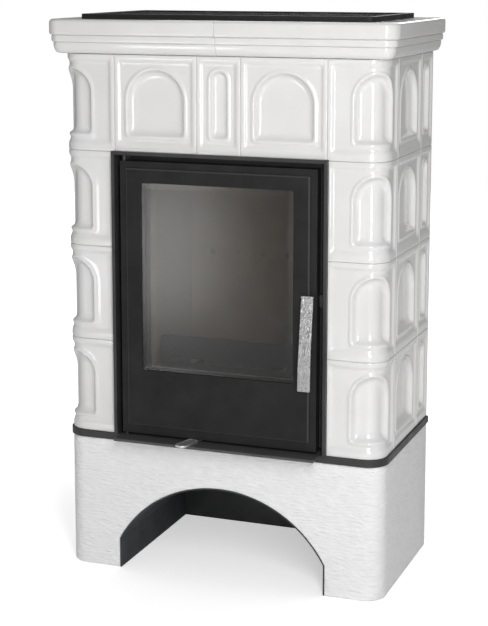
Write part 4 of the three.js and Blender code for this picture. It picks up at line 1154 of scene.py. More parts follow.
@dataclass(frozen=True)
class Cornice:
    """The two halves of the cornice: a tall face over two round beads, carried round the corner."""

    size: Frame
    overhang: float = 0.025
    face: float = 0.033
    top_round: float = 0.008
    face_foot_round: float = 0.005
    upper_bead: float = 0.015
    upper_reach: float = 0.0205
    upper_groove: float = 0.0028
    lower_reach: float = 0.0165
    lower_foot: float = 0.0035
    shelf: float = 0.050
    wall: float = 0.014
    corner: float = 0.005
    end_round: float = 0.0015
    corner_steps: int = 24
    bead_gaps: tuple[float, float] = (0.0004, 0.0003)
    bead_fullness: float = 1.4
    groove_turn: Rows = ((0.0016, 0.0003), (0.0004, 0.0011))
    lower_ends: tuple[float, float] = (0.0024, 0.0008)
    lower_fullness: tuple[float, float] = (0.8, 1.15)

    def _profile(self, height: float) -> Array:
        """The closed section, as reach and height, walked from the shelf's edge over the top and down.

        The upper bead's reach is its full reach less its groove, times one minus the cosine of an
        angle that runs from -90 to 90 degrees, to the power of its fullness. The lower bead is a
        quarter of a superellipse from its full reach to its foot, after a short turn into the groove.

        Args:
            height: The cornice's height.

        Returns:
            The section's points.
        """
        turn = np.linspace(0, QUARTER, 9)
        r = self.top_round
        top = np.column_stack([self.overhang - r + r * np.sin(turn), height - r + r * np.cos(turn)])
        face_foot = height - self.face
        r = self.face_foot_round
        under = np.column_stack([self.overhang - r + r * np.cos(turn), face_foot + r - r * np.sin(turn)])
        upper_foot = face_foot - self.upper_bead
        angle = np.linspace(-QUARTER, QUARTER, 17)
        high, low = face_foot - self.bead_gaps[0], upper_foot + self.bead_gaps[1]
        out = self.upper_reach - self.upper_groove * (1 - np.cos(angle)) ** self.bead_fullness
        upper = np.column_stack([out, high + (low - high) * (1 + np.sin(angle)) / 2])
        into = [(self.lower_reach - back, upper_foot - down) for back, down in self.groove_turn]
        sweep = np.linspace(0, QUARTER, 17)
        lower_top, (across, down) = upper_foot - self.lower_ends[0], self.lower_fullness
        out = self.lower_foot + (self.lower_reach - self.lower_foot) * np.cos(sweep) ** across
        drop = lower_top - self.lower_ends[1]
        lower = np.vstack([into, np.column_stack([out, lower_top - drop * np.sin(sweep) ** down])])
        rest = [
            (0.0, 0.0),
            (-self.wall, 0.0),
            (-self.wall, height - self.wall),
            (-self.shelf, height - self.wall),
            (-self.shelf, height),
        ]
        return np.vstack([top, under, upper, lower, rest])

    def build(self, palette: Palette) -> None:
        """Makes both halves. The section goes along the front, round the corner and back."""
        low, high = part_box("cornice_right")
        section = self._profile(high.z - low.z)
        reach, z = section.T
        half_width, front = self.size.half_width, self.size.front
        centre_x, centre_y = half_width - self.corner, front + self.corner
        inward = section - section.mean(0)
        inward /= np.linalg.norm(inward, axis=1)[:, None]
        lead = self.end_round * (1 - np.cos(np.linspace(0, QUARTER, 6)))[:-1]
        drawn_in = self.end_round - np.sqrt(self.end_round**2 - (self.end_round - lead) ** 2)
        stations: list[Array] = []

        def station(x: Array | float, y: Array | float, up: Array) -> None:
            """Keeps a section."""
            stations.append(np.column_stack([np.broadcast_to(x, len(up)), np.broadcast_to(y, len(up)), up]))

        for along, by in zip(lead, drawn_in):
            shape = section - inward * by
            station(low.x + along, front - shape[:, 0], shape[:, 1])
        for x in np.linspace(low.x + self.end_round, centre_x, 6)[:-1]:
            station(x, front - reach, z)
        radius = np.maximum(self.corner + reach, 0)
        mitre = np.minimum(self.corner + reach, 0)
        for angle in np.linspace(0, QUARTER, self.corner_steps + 1):
            station(
                centre_x + mitre + radius * math.sin(angle), centre_y - mitre - radius * math.cos(angle), z
            )
        for y in np.linspace(centre_y, high.y, 5)[1:]:
            station(half_width + reach, y, z)
        grid = np.stack(stations)
        grid[..., 2] += low.z
        on_side = grid[..., 0] >= half_width + reach - TINY
        early = (grid[..., 1] < centre_y - mitre) & on_side & (reach < -self.corner)
        grid[..., 1] = np.where(early, centre_y - mitre, grid[..., 1])
        caps = self._caps(section)
        walls = grid_triangles(*grid.shape[:2])[:, ::-1]
        triangles = np.vstack([walls, caps, caps[:, ::-1] + (len(grid) - 1) * len(section)])
        points = grid.reshape(-1, 3)
        right = new_piece("glazed_cornice_right", points, triangles, 35.0)
        dressed(right, palette.glaze, "root", ["cornice_right"])
        left = new_piece("glazed_cornice_left", points * [-1, 1, 1], triangles[:, ::-1], 35.0)
        dressed(left, palette.glaze, "root", ["cornice_left"])

    @staticmethod
    def _caps(section: Array) -> Array:
        """Triangles over the section's face, found by Blender's polygon fill.

        Args:
            section: The section's points.

        Returns:
            Point numbers, three to a triangle.
        """
        loop = [[(float(x), float(z), 0.0) for x, z in section]]
        found = np.array([tuple(t) for t in tessellate_polygon(loop)])
        a, b, c = (section[found[:, k]] for k in range(3))
        area = (b[:, 0] - a[:, 0]) * (c[:, 1] - a[:, 1]) - (b[:, 1] - a[:, 1]) * (c[:, 0] - a[:, 0])
        found[area < 0] = found[area < 0][:, ::-1]
        return found


@dataclass(frozen=True)
class Plinth:
    """The rendered plinth and the steel vault in its arch, which is a piece of a circle.

    The arch's straight sides end in a corner at the springs, where the circle starts.
    """

    size: Frame
    wall: float = 0.045
    half: float = 0.235
    spring: float = 0.066
    rise: float = 0.139
    gap: float = 0.0003
    edge: float = 0.004
    sheet: float = 0.003
    set_back: float = 0.003
    arch_columns: int = 56
    vault_columns: int = 72
    face_rows: int = 12
    pier_rows: int = 4
    pier_columns: int = 4
    corner_columns: int = 10
    edge_rings: int = 6

    def build(self, palette: Palette) -> None:
        """Makes the render's shell and the vault."""
        shell = new_piece("rendered_plinth", *self._shell())
        dressed(shell, palette.render, "root", ["plinth_shell"])
        vault = new_piece("steel_vault", *self._vault())
        dressed(vault, palette.vault, "root", ["arch_liner"])

    def _arch(self, grow: float, columns: int) -> tuple[Array, Array]:
        """The arch's curve, grown outwards: across and up, from the left spring to the right one.

        The circle's radius is (rise squared + half squared) / (2 rise), and its middle lies that far
        under the crown.

        Args:
            grow: How far outside the vault's outline it runs.
            columns: Spans of the curve.

        Returns:
            Across and up, by point.
        """
        radius = (self.rise**2 + self.half**2) / (2 * self.rise)
        middle = self.spring + self.rise - radius
        turn = math.asin((self.half + grow) / (radius + grow))
        angle = np.linspace(-turn, turn, columns + 1)
        return (radius + grow) * np.sin(angle), middle + (radius + grow) * np.cos(angle)

    def _grid(self, inset: float) -> tuple[Array, Array, Array, Array]:
        """The wall's face unrolled: rows from the foot to the top, columns from one back edge to the other.

        Under the springs only the piers have rows. Over them, each column's rows share the height
        from the arch, or from the spring's level, to the top.

        Args:
            inset: How far the face ends before its edges.

        Returns:
            Distance from the middle of the front, height, which cells are wall, and the cells' loop.
        """
        low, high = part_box("plinth_shell")
        across, arch = self._arch(self.gap + inset, self.arch_columns)
        start = self.size.half_width - self.size.corner_radius
        arc = QUARTER * self.size.corner_radius
        length = start + arc + high.y - low.y - self.size.corner_radius
        stations = np.concatenate([
            np.linspace(across[-1], start, self.pier_columns + 1)[1:],
            start + arc * np.linspace(0, 1, self.corner_columns + 1)[1:],
            np.linspace(start + arc, length - inset, self.pier_columns + 1)[1:],
        ])
        columns = np.concatenate([-stations[::-1], across, stations])
        first, last = len(stations), len(stations) + self.arch_columns
        under = np.full(len(columns), arch[0])
        under[first : last + 1] = arch
        low_rows = self.pier_rows
        foot = inset + (arch[0] - inset) * np.linspace(0, 1, low_rows + 1)[:-1]
        piers = np.broadcast_to(foot[:, None], (low_rows, len(columns)))
        share = np.linspace(0, 1, self.face_rows + 1)[:, None]
        rows = np.vstack([piers, under + (high.z - inset - under) * share])
        is_wall = np.ones((len(rows) - 1, len(columns) - 1), bool)
        is_wall[:low_rows, first:last] = False
        top, end = len(rows) - 1, len(columns) - 1
        loop = [(i, 0) for i in range(top, 0, -1)]
        loop += [(0, j) for j in range(first)] + [(i, first) for i in range(low_rows)]
        loop += [(low_rows, j) for j in range(first, last)] + [(i, last) for i in range(low_rows, 0, -1)]
        loop += [(0, j) for j in range(last, end)] + [(i, end) for i in range(top)]
        loop += [(top, j) for j in range(end, 0, -1)]
        at = np.array(loop)
        return np.broadcast_to(columns, rows.shape), rows, is_wall, at[:, 0] * len(columns) + at[:, 1]

    def _placed(self, along: Array, up: Array, deep: float) -> Array:
        """The points of the unrolled wall, bent round the plinth at a depth under its face."""
        line, _ = corner_line(replace(self.size, corner_front_leg=self.size.half_width), 1)
        x, y = line(np.abs(along), np.full_like(along, -deep))
        return np.column_stack([(np.sign(along) * x).ravel(), y.ravel(), up.ravel()])

    def _shell(self) -> Surface:
        """The walls: the face, round edges, the thickness, and the inner face."""
        along, up, is_wall, loop = self._grid(self.edge)
        halves = grid_triangles(*along.shape, wrap_columns=False).reshape(2, *is_wall.shape, 3)
        skin = halves[:, is_wall].reshape(-1, 3)
        face = self._placed(along, up, 0.0)
        rings = []
        for angle in np.linspace(0, QUARTER, self.edge_rings):
            inset, deep = self.edge * (1 - math.sin(angle)), self.edge * (1 - math.cos(angle))
            along, up, _, _ = self._grid(inset)
            rings.append(self._placed(along, up, deep)[loop])
        inner = self._placed(along, up, self.wall)
        rings.append(inner[loop])
        rim = np.vstack(rings)
        band = grid_triangles(len(rings), len(loop))
        points, triangles = join([(face, skin), (rim, band[:, ::-1]), (inner, skin[:, ::-1])])
        return facing_out(points, triangles)

    def _vault(self) -> Surface:
        """The bent sheet: a thin section carried up one side, over the arch and down the other."""
        low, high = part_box("arch_liner")
        sections = []
        for grow in (0.0, -self.sheet):
            across, arch = self._arch(grow, self.vault_columns)
            x = np.concatenate([[across[0]], across, [across[-1]]])
            z = np.concatenate([[low.z], arch, [low.z]])
            for y in (low.y, high.y) if grow == 0 else (high.y, low.y):
                sections.append(np.column_stack([x, np.full(len(x), y), z]))
        return facing_out(*swept(np.stack(sections, axis=1)))


@dataclass(frozen=True)
class TopGrille:
    """The warm-air grille: a rim, and waved bars whose crests meet in staggered pointed ovals."""

    rim: float = 0.016
    rim_round: float = 0.0012
    corner: float = 0.012
    columns: int = 18
    rows: int = 12
    bar: float = 0.0042
    drop: float = 0.003
    thickness: float = 0.004
    steps_per_lens: int = 10
    swing: float = 0.86
    bar_fullness: float = 1.12
    corner_points: int = 7

    def build(self, palette: Palette) -> None:
        """Makes the rim and the bars as one piece."""
        low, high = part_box("top_grille")
        parts = [self._rim(low, high)] + self._bars(low, high)
        points, triangles = join(parts)
        piece = new_piece("cast_top_grille", points, triangles, 35.0)
        dressed(piece, palette.iron, "root", ["top_grille"])

    def _rim(self, low: Sequence[float], high: Sequence[float]) -> Surface:
        """The rim: a rounded rectangular section carried round a rounded rectangle.

        Args:
            low: The node's lowest corner.
            high: Its highest corner.

        Returns:
            Points and triangles.
        """
        turn = np.linspace(0, QUARTER, self.corner_points)
        signs = np.array([(1, -1), (1, 1), (-1, 1), (-1, -1)], float)
        corners = []
        for quarter, sign in enumerate(signs, start=-1):
            outermost = np.where(sign > 0, [high.x, high.y], [low.x, low.y])
            angle = turn + quarter * QUARTER
            centre = np.tile(outermost - sign * self.corner, (len(turn), 1))
            corners.append(np.column_stack([centre, np.cos(angle), np.sin(angle)]))
        path = np.vstack(corners)
        r, depth = self.rim_round, high.z - low.z
        bend = np.linspace(0, QUARTER, 4)
        outer_top = np.column_stack([-r + r * np.cos(bend), depth - r + r * np.sin(bend)])
        inner_top = np.column_stack([-self.rim + r - r * np.sin(bend), depth - r + r * np.cos(bend)])
        section = np.vstack([[(0.0, 0.0)], outer_top, inner_top, [(-self.rim, 0.0)]])
        out = np.maximum(self.corner + section[:, 0], 0)[None, :, None]
        short = np.minimum(self.corner + section[:, 0], 0)[None, :, None]
        signs = np.repeat(signs, len(turn), axis=0)[:, None, :]
        xy = path[:, None, :2] + path[:, None, 2:] * out + signs * short
        z = np.broadcast_to(low.z + section[:, 1], xy.shape[:2])
        sections = np.dstack([xy, z])
        return facing_out(*swept(sections, closed_path=True))

    def _bars(self, low: Sequence[float], high: Sequence[float]) -> list[Surface]:
        """The waved bars, from side to side.

        Bar k lies at k pitches from the front, and swings by a little under half a pitch: its offset
        is that swing times a cosine of the way across, and odd bars are half a wave late.

        Args:
            low: The node's lowest corner.
            high: Its highest corner.

        Returns:
            Points and triangles of each bar.
        """
        x0, x1 = low.x + self.rim - MM, high.x - self.rim + MM
        y0, y1 = low.y + self.rim, high.y - self.rim
        pitch = (y1 - y0) / self.rows
        count = self.columns * self.steps_per_lens + 1
        x = np.linspace(x0, x1, count)
        phase = 2 * np.pi * self.columns * (x - x0) / (x1 - x0)
        half, depth = self.bar / 2, self.thickness / 2
        middle = high.z - self.drop - depth
        around = np.linspace(0, 2 * np.pi, 9)[:-1] + np.pi / 8
        made = []
        for k in range(self.rows + 1):
            swing = (pitch / 2) * self.swing * (-1) ** k
            wave = np.cos(phase)
            y = np.clip(y0 + k * pitch + swing * wave, y0 - MM, y1 + MM)
            slope = np.gradient(y, x)
            normal = np.column_stack([-slope, np.ones(count)]) / np.hypot(slope, 1)[:, None]
            side = self.bar_fullness * half * np.cos(around)
            up = self.bar_fullness * depth * np.sin(around)
            sections = np.dstack(
                [
                    x[:, None] + normal[:, :1] * side,
                    y[:, None] + normal[:, 1:] * side,
                    np.broadcast_to(middle + up, (count, len(around))),
                ]
            )
            made.append(facing_out(*swept(sections)))
        return made


# ---------------------------------------------------------------------------------------------
# Door, handle and flue
# ---------------------------------------------------------------------------------------------


@dataclass(frozen=True)
class DoorGlass:
    """The pane, which stands forward in the window inside its clamped rim, and the rope seal.

    A ground border runs round the pane's face, and slopes inwards.
    """

    window: tuple[float, float, float] = (0.1686, 0.0124, 0.0124)
    behind_plate: float = 0.0030
    border: float = 0.012
    border_depth: float = 0.00035
    arris: float = 0.0006
    step: float = 0.0005
    seal_step: float = 0.0022
    seal_corner: float = 0.014
    seal_sides: int = 18
    strands: int = 4
    twist: float = 95.0
    braid_depth: float = 0.0007

    def build(self, palette: Palette) -> None:
        """Makes the pane and the seal."""
        self._pane(palette.glass)
        self._seal(palette.rope)

    def _pane(self, material: bpy.types.Material) -> None:
        """The pane: nested rectangles from the middle of its back round the edge to its front.

        Args:
            material: The glass.
        """
        low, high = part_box("door_glass")
        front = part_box("door_front_plate")[0].y + self.behind_plate
        half, foot, head = self.window
        side = high.x - half
        rows = [
            (None, high.y),
            (self.arris, high.y),
            (0.0, high.y - self.arris),
            (0.0, low.y + self.arris),
            (self.arris, low.y),
            (side, low.y),
            (side, front + self.step),
            (side + self.step, front),
            (side + self.border, front + self.border_depth),
            (side + self.border + self.step, front + self.border_depth),
            (None, front + self.border_depth),
        ]
        middle = ((low.x + high.x) / 2, (low.z + high.z) / 2)
        rings = []
        for inset, y in rows:
            if inset is None:
                ring = [(middle[0], y, middle[1])] * 4
            else:
                up, down = (inset, inset) if inset < side else (inset - side + foot, inset - side + head)
                x0, x1, z0, z1 = low.x + inset, high.x - inset, low.z + up, high.z - down
                ring = [(x0, y, z0), (x1, y, z0), (x1, y, z1), (x0, y, z1)]
            rings.append(ring)
        points = np.array(rings, float)
        shape = facing_out(points.reshape(-1, 3), grid_triangles(len(rows), 4))
        dressed(new_piece("smoked_pane", *shape, 1.0), material, "door", ["door_glass"])

    def _seal(self, material: bpy.types.Material) -> None:
        """The seal: a braided round rope carried round a rounded rectangle.

        The rope's radius drops between its strands by a wave round the rope that turns one way
        along it, times the same wave turned the other way.

        Args:
            material: The rope.
        """
        low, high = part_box("door_gasket")
        radius = (high.y - low.y) / 2
        ring = rounded_ring(
            low.x + radius, high.x - radius, low.z + radius, high.z - radius, self.seal_corner
        )
        path = np.vstack([ring, ring[:1]])
        length = np.concatenate([[0.0], np.cumsum(np.hypot(*np.diff(path, axis=0).T))])
        count = int(length[-1] / self.seal_step)
        along = np.linspace(0, length[-1], count, endpoint=False)
        x, z = (np.interp(along, length, path[:, k]) for k in range(2))
        tangent = np.column_stack([np.roll(x, -1) - np.roll(x, 1), np.roll(z, -1) - np.roll(z, 1)])
        tangent /= np.linalg.norm(tangent, axis=1)[:, None]
        angle = np.linspace(0, 2 * np.pi, self.seal_sides, endpoint=False)[None, :]
        turns = round(self.twist * length[-1]) / length[-1]
        phase = 2 * np.pi * turns * along[:, None] / self.strands
        braid = np.cos(self.strands * (angle + phase)) * np.cos(self.strands * (angle - phase))
        rope = radius - self.braid_depth * (1 - braid) / 2
        out, up = rope * np.cos(angle), rope * np.sin(angle)
        sections = np.dstack(
            [x[:, None] + out * tangent[:, 1:], (low.y + high.y) / 2 + up, z[:, None] - out * tangent[:, :1]]
        )
        shape = facing_out(*swept(sections, closed_path=True))
        dressed(new_piece("braided_seal", *shape, 60.0), material, "door", ["door_gasket"])


@dataclass(frozen=True)
class FrontPlate:
    """The raised plate on the door: a frame round the window, with a slope round its edge that takes lighter
    paint: rubbed paint and a painted edge highlight.

    The rows of the edge and of the window's edge are in millimetres: the inset, the corners' radius,
    the depth under the face, which is infinite at the back, and the share of the lighter paint,
    which stands for rubbed paint and a painted edge highlight.
    """

    window: tuple[float, float, float, float] = (0.169, 0.169, 0.123, 0.030)
    edge: Rows = (
        (0.0, 1.5, math.inf, 0.0),
        (0.0, 1.5, 2.2, 0.5),
        (0.6, 1.5, 1.584, 1.0),
        (2.4, 2.5, 0.264, 1.0),
        (3.0, 2.5, 0.0, 0.4),
        (4.2, 3.5, 0.0, 0.0),
    )
    window_edge: Rows = (
        (-1.5, 6.0, 0.0, 0.0),
        (-0.6, 6.0, 0.0, 0.15),
        (-0.18, 6.0, 0.18, 0.3),
        (0.0, 6.0, 0.6, 0.1),
        (0.0, 6.0, math.inf, 0.0),
    )

    def build(self, palette: Palette) -> None:
        """Makes the plate from rings that go once round its section.

        The section runs from the back's outer edge over the slope and the face to the window's edge,
        and back behind the plate.
        """
        low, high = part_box("door_front_plate")
        left, right, foot, top = self.window
        outer = (low.x, high.x, low.z, high.z)
        hole = (-left, right, low.z + foot, high.z - top)
        rings, wear_and_highlight = [], []
        for (x0, x1, z0, z1), rows in ((outer, self.edge), (hole, self.window_edge)):
            for inset, corner, depth, share in rows:
                by, y = inset * MM, min(low.y + depth * MM, high.y)
                ring = rounded_ring(x0 + by, x1 - by, z0 + by, z1 - by, corner * MM)
                rings.append(np.column_stack([ring[:, 0], np.full(len(ring), y), ring[:, 1]]))
                wear_and_highlight += [share] * len(ring)
        count = len(rings[0])
        points, triangles = facing_out(np.vstack(rings), grid_triangles(len(rings), count, wrap_rows=True))
        piece = new_piece("rubbed_highlit_front_plate", points, triangles, 25.0, welded=False)
        # The points' shares of the lighter paint: rubbed paint and a painted edge highlight.
        mark_wear_and_highlight(piece, np.array(wear_and_highlight))
        dressed(piece, palette.rubbed_highlit_paint, "door", ["door_front_plate"])


@dataclass(frozen=True)
class AirLever:
    """The chrome lever of the air slide: a spoon-shaped blade with a rolled rim, on a flat bar.

    The rows of the blade and of the bar are in millimetres: the inset, and the height over the foot.
    """

    pivot: tuple[float, float] = (-0.029, 0.072)
    angle_degrees: float = 16.4
    tip_gap: float = 0.0003
    tip_share: float = 0.3
    blade: float = 0.058
    half_width: float = 0.013
    tip_round: float = 0.010
    least_round: float = 0.0012
    neck: float = 0.008
    neck_round: float = 0.0075
    neck_lap: float = 0.012
    blade_rows: Rows = (
        (11.0, 0.0),
        (0.8, 0.0),
        (0.2, 0.6),
        (0.0, 2.5),
        (0.2, 3.8),
        (0.8, 4.6),
        (1.6, 4.9),
        (2.5, 4.5),
        (3.2, 3.5),
        (4.2, 2.9),
        (6.5, 2.6),
        (11.0, 2.5),
    )
    bar_rows: Rows = ((0.6, 0.0), (0.0, 0.6), (0.0, 1.9), (0.6, 2.5))

    def build(self, palette: Palette) -> None:
        """Makes the blade and the bar, then turns them about the pivot to the rest angle.

        The blade's rings run inwards from its edge: a rolled rim, then a shallow dish.
        """
        low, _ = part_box("air_lever")
        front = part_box("corner_tile_right_1")[0].y
        pivot = np.array([self.pivot[0], front + self.pivot[1]])
        turn = math.radians(self.angle_degrees)
        slant = self.half_width * math.tan(turn) * self.tip_share
        length = (pivot[1] - low.y - self.tip_gap) / math.cos(turn) - slant

        def layers(
            rows: Sequence[Sequence[float]], half: float, span: Sequence[float], corner: float, foot: float
        ) -> Array:
            """Rings of a rounded rectangle by row; foot is the share of the inset at its near end."""
            made = []
            for by, z in np.array(rows) * MM:
                radius = max(corner - by, self.least_round)
                ring = rounded_ring(-half + by, half - by, span[0] + foot * by, span[1] - by, radius)
                made.append(np.column_stack([ring, np.full(len(ring), low.z + z)]))
            return np.stack(made)

        end = -length + self.blade
        blade = layers(self.blade_rows, self.half_width, (-length, end), self.tip_round, 1.0)
        bar = layers(self.bar_rows, self.neck, (end - self.neck_lap, self.neck), self.neck_round, 0.0)
        blade, bar = facing_out(*swept(blade)), facing_out(*swept(bar))
        points, triangles = join([blade, bar])
        cos, sin = math.cos(turn), math.sin(turn)
        x = points[:, 0] * cos + points[:, 1] * sin
        y = -points[:, 0] * sin + points[:, 1] * cos
        placed = np.column_stack([pivot[0] + x, pivot[1] + y, points[:, 2]])
        piece = new_piece("chrome_air_lever", placed, triangles, 50.0)
        dressed(piece, palette.chrome, "air_control", ["air_lever"])


@dataclass(frozen=True)
class DoorHandle:
    """The forged stainless handle: a bowed strip, hammered over its upper part, on a round boss."""

    thickness: float = 0.005
    stand_top: float = 0.016
    stand_foot: float = 0.037
    bow: float = 1.2
    drop: float = 0.017
    boss_radius: float = 0.009
    socket_radius: float = 0.0063
    socket_depth: float = 0.008
    edge: float = 0.0011
    hammered: float = 0.70
    dimples: int = 620
    dimple_depth: float = 0.0006
    dimple_size: tuple[float, float] = (0.0010, 0.0018)
    fade_lead: float = 0.05
    fade_rate: float = 60.0
    wobble: float = 0.00022
    wobble_waves: tuple[float, float] = (0.0093, 0.0147)
    wobble_phase: float = 1.3
    boss_collar: float = 0.0022
    boss_sink: float = 0.0025
    boss_fillet: float = 0.0008
    boss_chamfer: float = 0.0007
    across: int = 33
    along: int = 330

    def _back(self, t: Array, plate: float) -> Array:
        """The strip's back: it stands off the plate by a quarter sine, from its top to its foot."""
        return plate - self.stand_top - (self.stand_foot - self.stand_top) * np.sin(QUARTER * t) ** self.bow

    def _fade(self, t: Array) -> Array:
        """The hammering's strength: 1 at the top, and a logistic step to 0 near its lower end."""
        return 1 / (1 + np.exp((t - self.hammered + self.fade_lead) * self.fade_rate))

    def _dimples(self, x: Array, t: Array, length: float) -> Array:
        """How deep the hammer marks are: a sum of bell curves, faded out towards the foot.

        Args:
            x: Places across the strip, from its middle.
            t: Shares of the way down.
            length: The strip's length.

        Returns:
            Depths, from 0 to about the dimples' depth.
        """
        dice = np.random.default_rng(11)
        cx = dice.uniform(-0.013, 0.013, self.dimples)
        ct = dice.uniform(0.0, self.hammered, self.dimples)
        size = dice.uniform(0.7, 1.35, self.dimples)
        wide, tall = self.dimple_size
        across = (x[..., None] - cx) / (wide * size)
        down = ((t[..., None] - ct) * length) / (tall * size)
        marks = np.exp(-(across**2 + down**2)).sum(-1)
        return self.dimple_depth * np.tanh(1.1 * marks) * self._fade(t)

    def build(self, palette: Palette) -> None:
        """Makes the strip and its boss as one piece."""
        low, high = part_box("handle_bar")
        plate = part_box("door_front_plate")[0].y
        length, half = high.z - low.z, (high.x - low.x) / 2
        middle = (low.x + high.x) / 2
        t = np.linspace(0, 1, self.along)[:, None]
        flat = np.linspace(-1, 1, self.across)
        bend = np.linspace(0, QUARTER, 4)[1:]
        r = self.edge
        front = np.column_stack([flat * (half - r), np.zeros(self.across)])
        right = np.column_stack([half - r + r * np.sin(bend), r - r * np.cos(bend)])
        right = np.vstack([right, right[::-1] * [1, -1] + [0, self.thickness]])
        back = np.column_stack([np.linspace(half - r, r - half, 5), np.full(5, self.thickness)])
        section = np.vstack([front, right, back, right[::-1] * [-1, 1]])
        x, depth = section[:, 0][None, :], section[:, 1][None, :]
        way = 2 * np.pi * t * length
        short, long = self.wobble_waves
        wobble = self.wobble * (np.sin(way / short) + np.sin(way / long + self.wobble_phase) - 2)
        narrowed = x * (1 + wobble * self._fade(t) / half)
        marks = self._dimples(np.broadcast_to(narrowed, (self.along, x.size)), t, length)
        facing = np.clip(1 - depth / (0.7 * self.thickness), 0, 1)
        y = self._back(t, plate) - self.thickness + depth + marks * facing
        z = high.z - length * t
        ends = np.clip(np.minimum(t, 1 - t) * length / r, 0, 1)
        shrink = r * (1 - np.sqrt(1 - (1 - ends) ** 2))
        centre = self._back(t, plate) - self.thickness / 2
        y = centre + (y - centre) * (1 - shrink / (self.thickness / 2))
        sections = np.dstack([middle + narrowed * (1 - shrink / half), y, np.broadcast_to(z, y.shape)])
        strip = facing_out(*swept(sections))
        top, end = self._back(np.array([self.drop / length]), plate)[0], high.y
        boss_radius, chamfer = self.boss_radius, self.boss_chamfer
        profile = [
            (0.0, top - self.boss_sink),
            (boss_radius + self.boss_collar, top - self.boss_sink),
            (boss_radius + self.boss_collar, top),
            (boss_radius + self.boss_fillet, top + chamfer),
            (boss_radius, top + self.boss_collar),
            (boss_radius, end - chamfer),
            (boss_radius - chamfer, end),
            (self.socket_radius, end),
            (self.socket_radius, end - self.socket_depth),
            (0.0, end - self.socket_depth),
        ]
        boss = turned(profile, (middle, high.z - self.drop), 32)
        piece = new_piece("forged_handle", *join([strip, boss]), 32.0)
        dressed(piece, palette.hammered, "handle", ["handle_bar"])


@dataclass(frozen=True)
class Flue:
    """The flue collar: a flange, and a tube with a groove near its rolled end."""

    radius: float = 0.075
    wall: float = 0.003
    flange: float = 0.004
    roll: float = 0.0012
    fillet: float = 0.002
    arris: float = 0.0006
    groove: Rows = ((0.0120, 0.0), (0.0105, 0.0006), (0.0090, 0.0006), (0.0075, 0.0))
    roll_point: tuple[float, float] = (0.0004, 0.0003)

    def build(self, palette: Palette) -> None:
        """Makes the collar."""
        low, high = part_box("flue_collar")
        outer = (high.x - low.x) / 2
        centre = ((low.x + high.x) / 2, (low.z + high.z) / 2)
        inner, y0, y1 = self.radius - self.wall, low.y, high.y
        r, arris, face = self.roll, self.arris, y0 + self.flange
        near, below = self.roll_point
        profile = [
            (inner, y0),
            (outer - arris, y0),
            (outer, y0 + arris),
            (outer, face - arris),
            (outer - arris, face),
            (self.radius + self.fillet, face),
            (self.radius + arris, face + arris),
            (self.radius, face + self.fillet),
            *((self.radius - deep, y1 - before) for before, deep in self.groove),
            (self.radius, y1 - r),
            (self.radius - near, y1 - below),
            (self.radius - r, y1),
            (inner + r, y1),
            (inner + near, y1 - below),
            (inner, y1 - r),
        ]
        piece = new_piece("turned_flue_collar", *turned(profile, centre, 120), 32.0)
        dressed(piece, palette.paint, "root", ["flue_collar"])


@dataclass(frozen=True)
class EdgeStrips:
    """Two folded steel strips, tucked behind the rear panel, that close the slots beside it."""

    width: float = 0.0336
    tucked: float = 0.0080
    sheet: float = 0.0012
    bead: float = 0.0016
    bead_at: float = 0.63
    bead_spread: float = 0.07
    recess: float = 0.0019
    top: float = 1.1770

    def build(self, palette: Palette) -> None:
        """Carries the strip's section, flat with a round bead along its middle, from foot to top."""
        low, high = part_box("rear_panel")
        u = np.linspace(0, 1, 21)
        bead = self.bead * np.exp(-(((u - self.bead_at) / self.bead_spread) ** 2))
        back = high.y - self.recess - self.bead
        x = high.x - self.tucked + self.width * u
        section = np.vstack([
            np.column_stack([x, back + bead]),
            np.column_stack([x, back + bead - self.sheet])[::-1],
        ])
        shapes = []
        for side in (1, -1):
            rows = [
                np.column_stack([side * section[:, 0], section[:, 1], np.full(len(section), z)])
                for z in (low.z, (low.z + self.top) / 2, self.top)
            ]
            shapes.append(facing_out(*swept(np.stack(rows))))
        strips = new_piece("rear_edge_strips", *join(shapes), 25.0)
        dressed(strips, palette.steel, "root", [])


@dataclass(frozen=True)
class PanelScrews:
    """Pan-head screws that hold the rear panel.

    The socket's rows are shares of the head's radius and of its height.
    """

    radius: float = 0.0042
    height: float = 0.0019
    inset: float = 0.014
    end_inset: float = 0.03
    sunk: float = 0.001
    socket: Rows = ((0.36, 0.98), (0.30, 0.45), (0.0, 0.40))
    panel_rows: int = 4

    def _head(self, x: float, y: float, z: float) -> Surface:
        """One head with a round socket, as a turned profile that faces +Y.

        Args:
            x: Its place across.
            y: The sheet's face.
            z: Its height.

        Returns:
            Points and triangles.
        """
        bend = np.linspace(0, QUARTER, 6)
        dome = np.column_stack([self.radius * np.cos(bend), y + self.height * np.sin(bend)])[:-1]
        dip = [(self.radius * across, y + self.height * up) for across, up in self.socket]
        shank = [(0.0, y - self.sunk), (self.radius, y - self.sunk)]
        return turned(np.vstack([shank, dome, dip]), (x, z), 20)

    def build(self, palette: Palette) -> None:
        """Makes the rear panel's screws as one piece."""
        low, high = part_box("rear_panel")
        heads = []
        for z in np.linspace(low.z + self.end_inset, high.z - self.end_inset, self.panel_rows):
            for x in (low.x + self.inset, high.x - self.inset):
                heads.append(self._head(x, high.y, float(z)))
        dressed(new_piece("rear_panel_screws", *join(heads), 35.0), palette.zinc, "root")


# ---------------------------------------------------------------------------------------------
# Studio
# ---------------------------------------------------------------------------------------------


@dataclass(frozen=True)
class Lamp:
    """A rectangular area lamp: its place, the point that it faces, its width and height, and watts."""

    name: str
    at: Place
    towards: Place
    spread: tuple[float, float]
    power: float

    def build(self) -> None:
        """Makes the lamp and turns it to its point."""
        data = bpy.data.lights.new(self.name, "AREA")
        data.shape = "RECTANGLE"
        data.size, data.size_y = self.spread
        data.energy = self.power
        lamp = bpy.data.objects.new(self.name, data)
        lamp.location = self.at
        lamp.rotation_mode = "QUATERNION"
        lamp.rotation_quaternion = (Vector(self.towards) - Vector(self.at)).to_track_quat("-Z", "Y")
        bpy.context.scene.collection.objects.link(lamp)


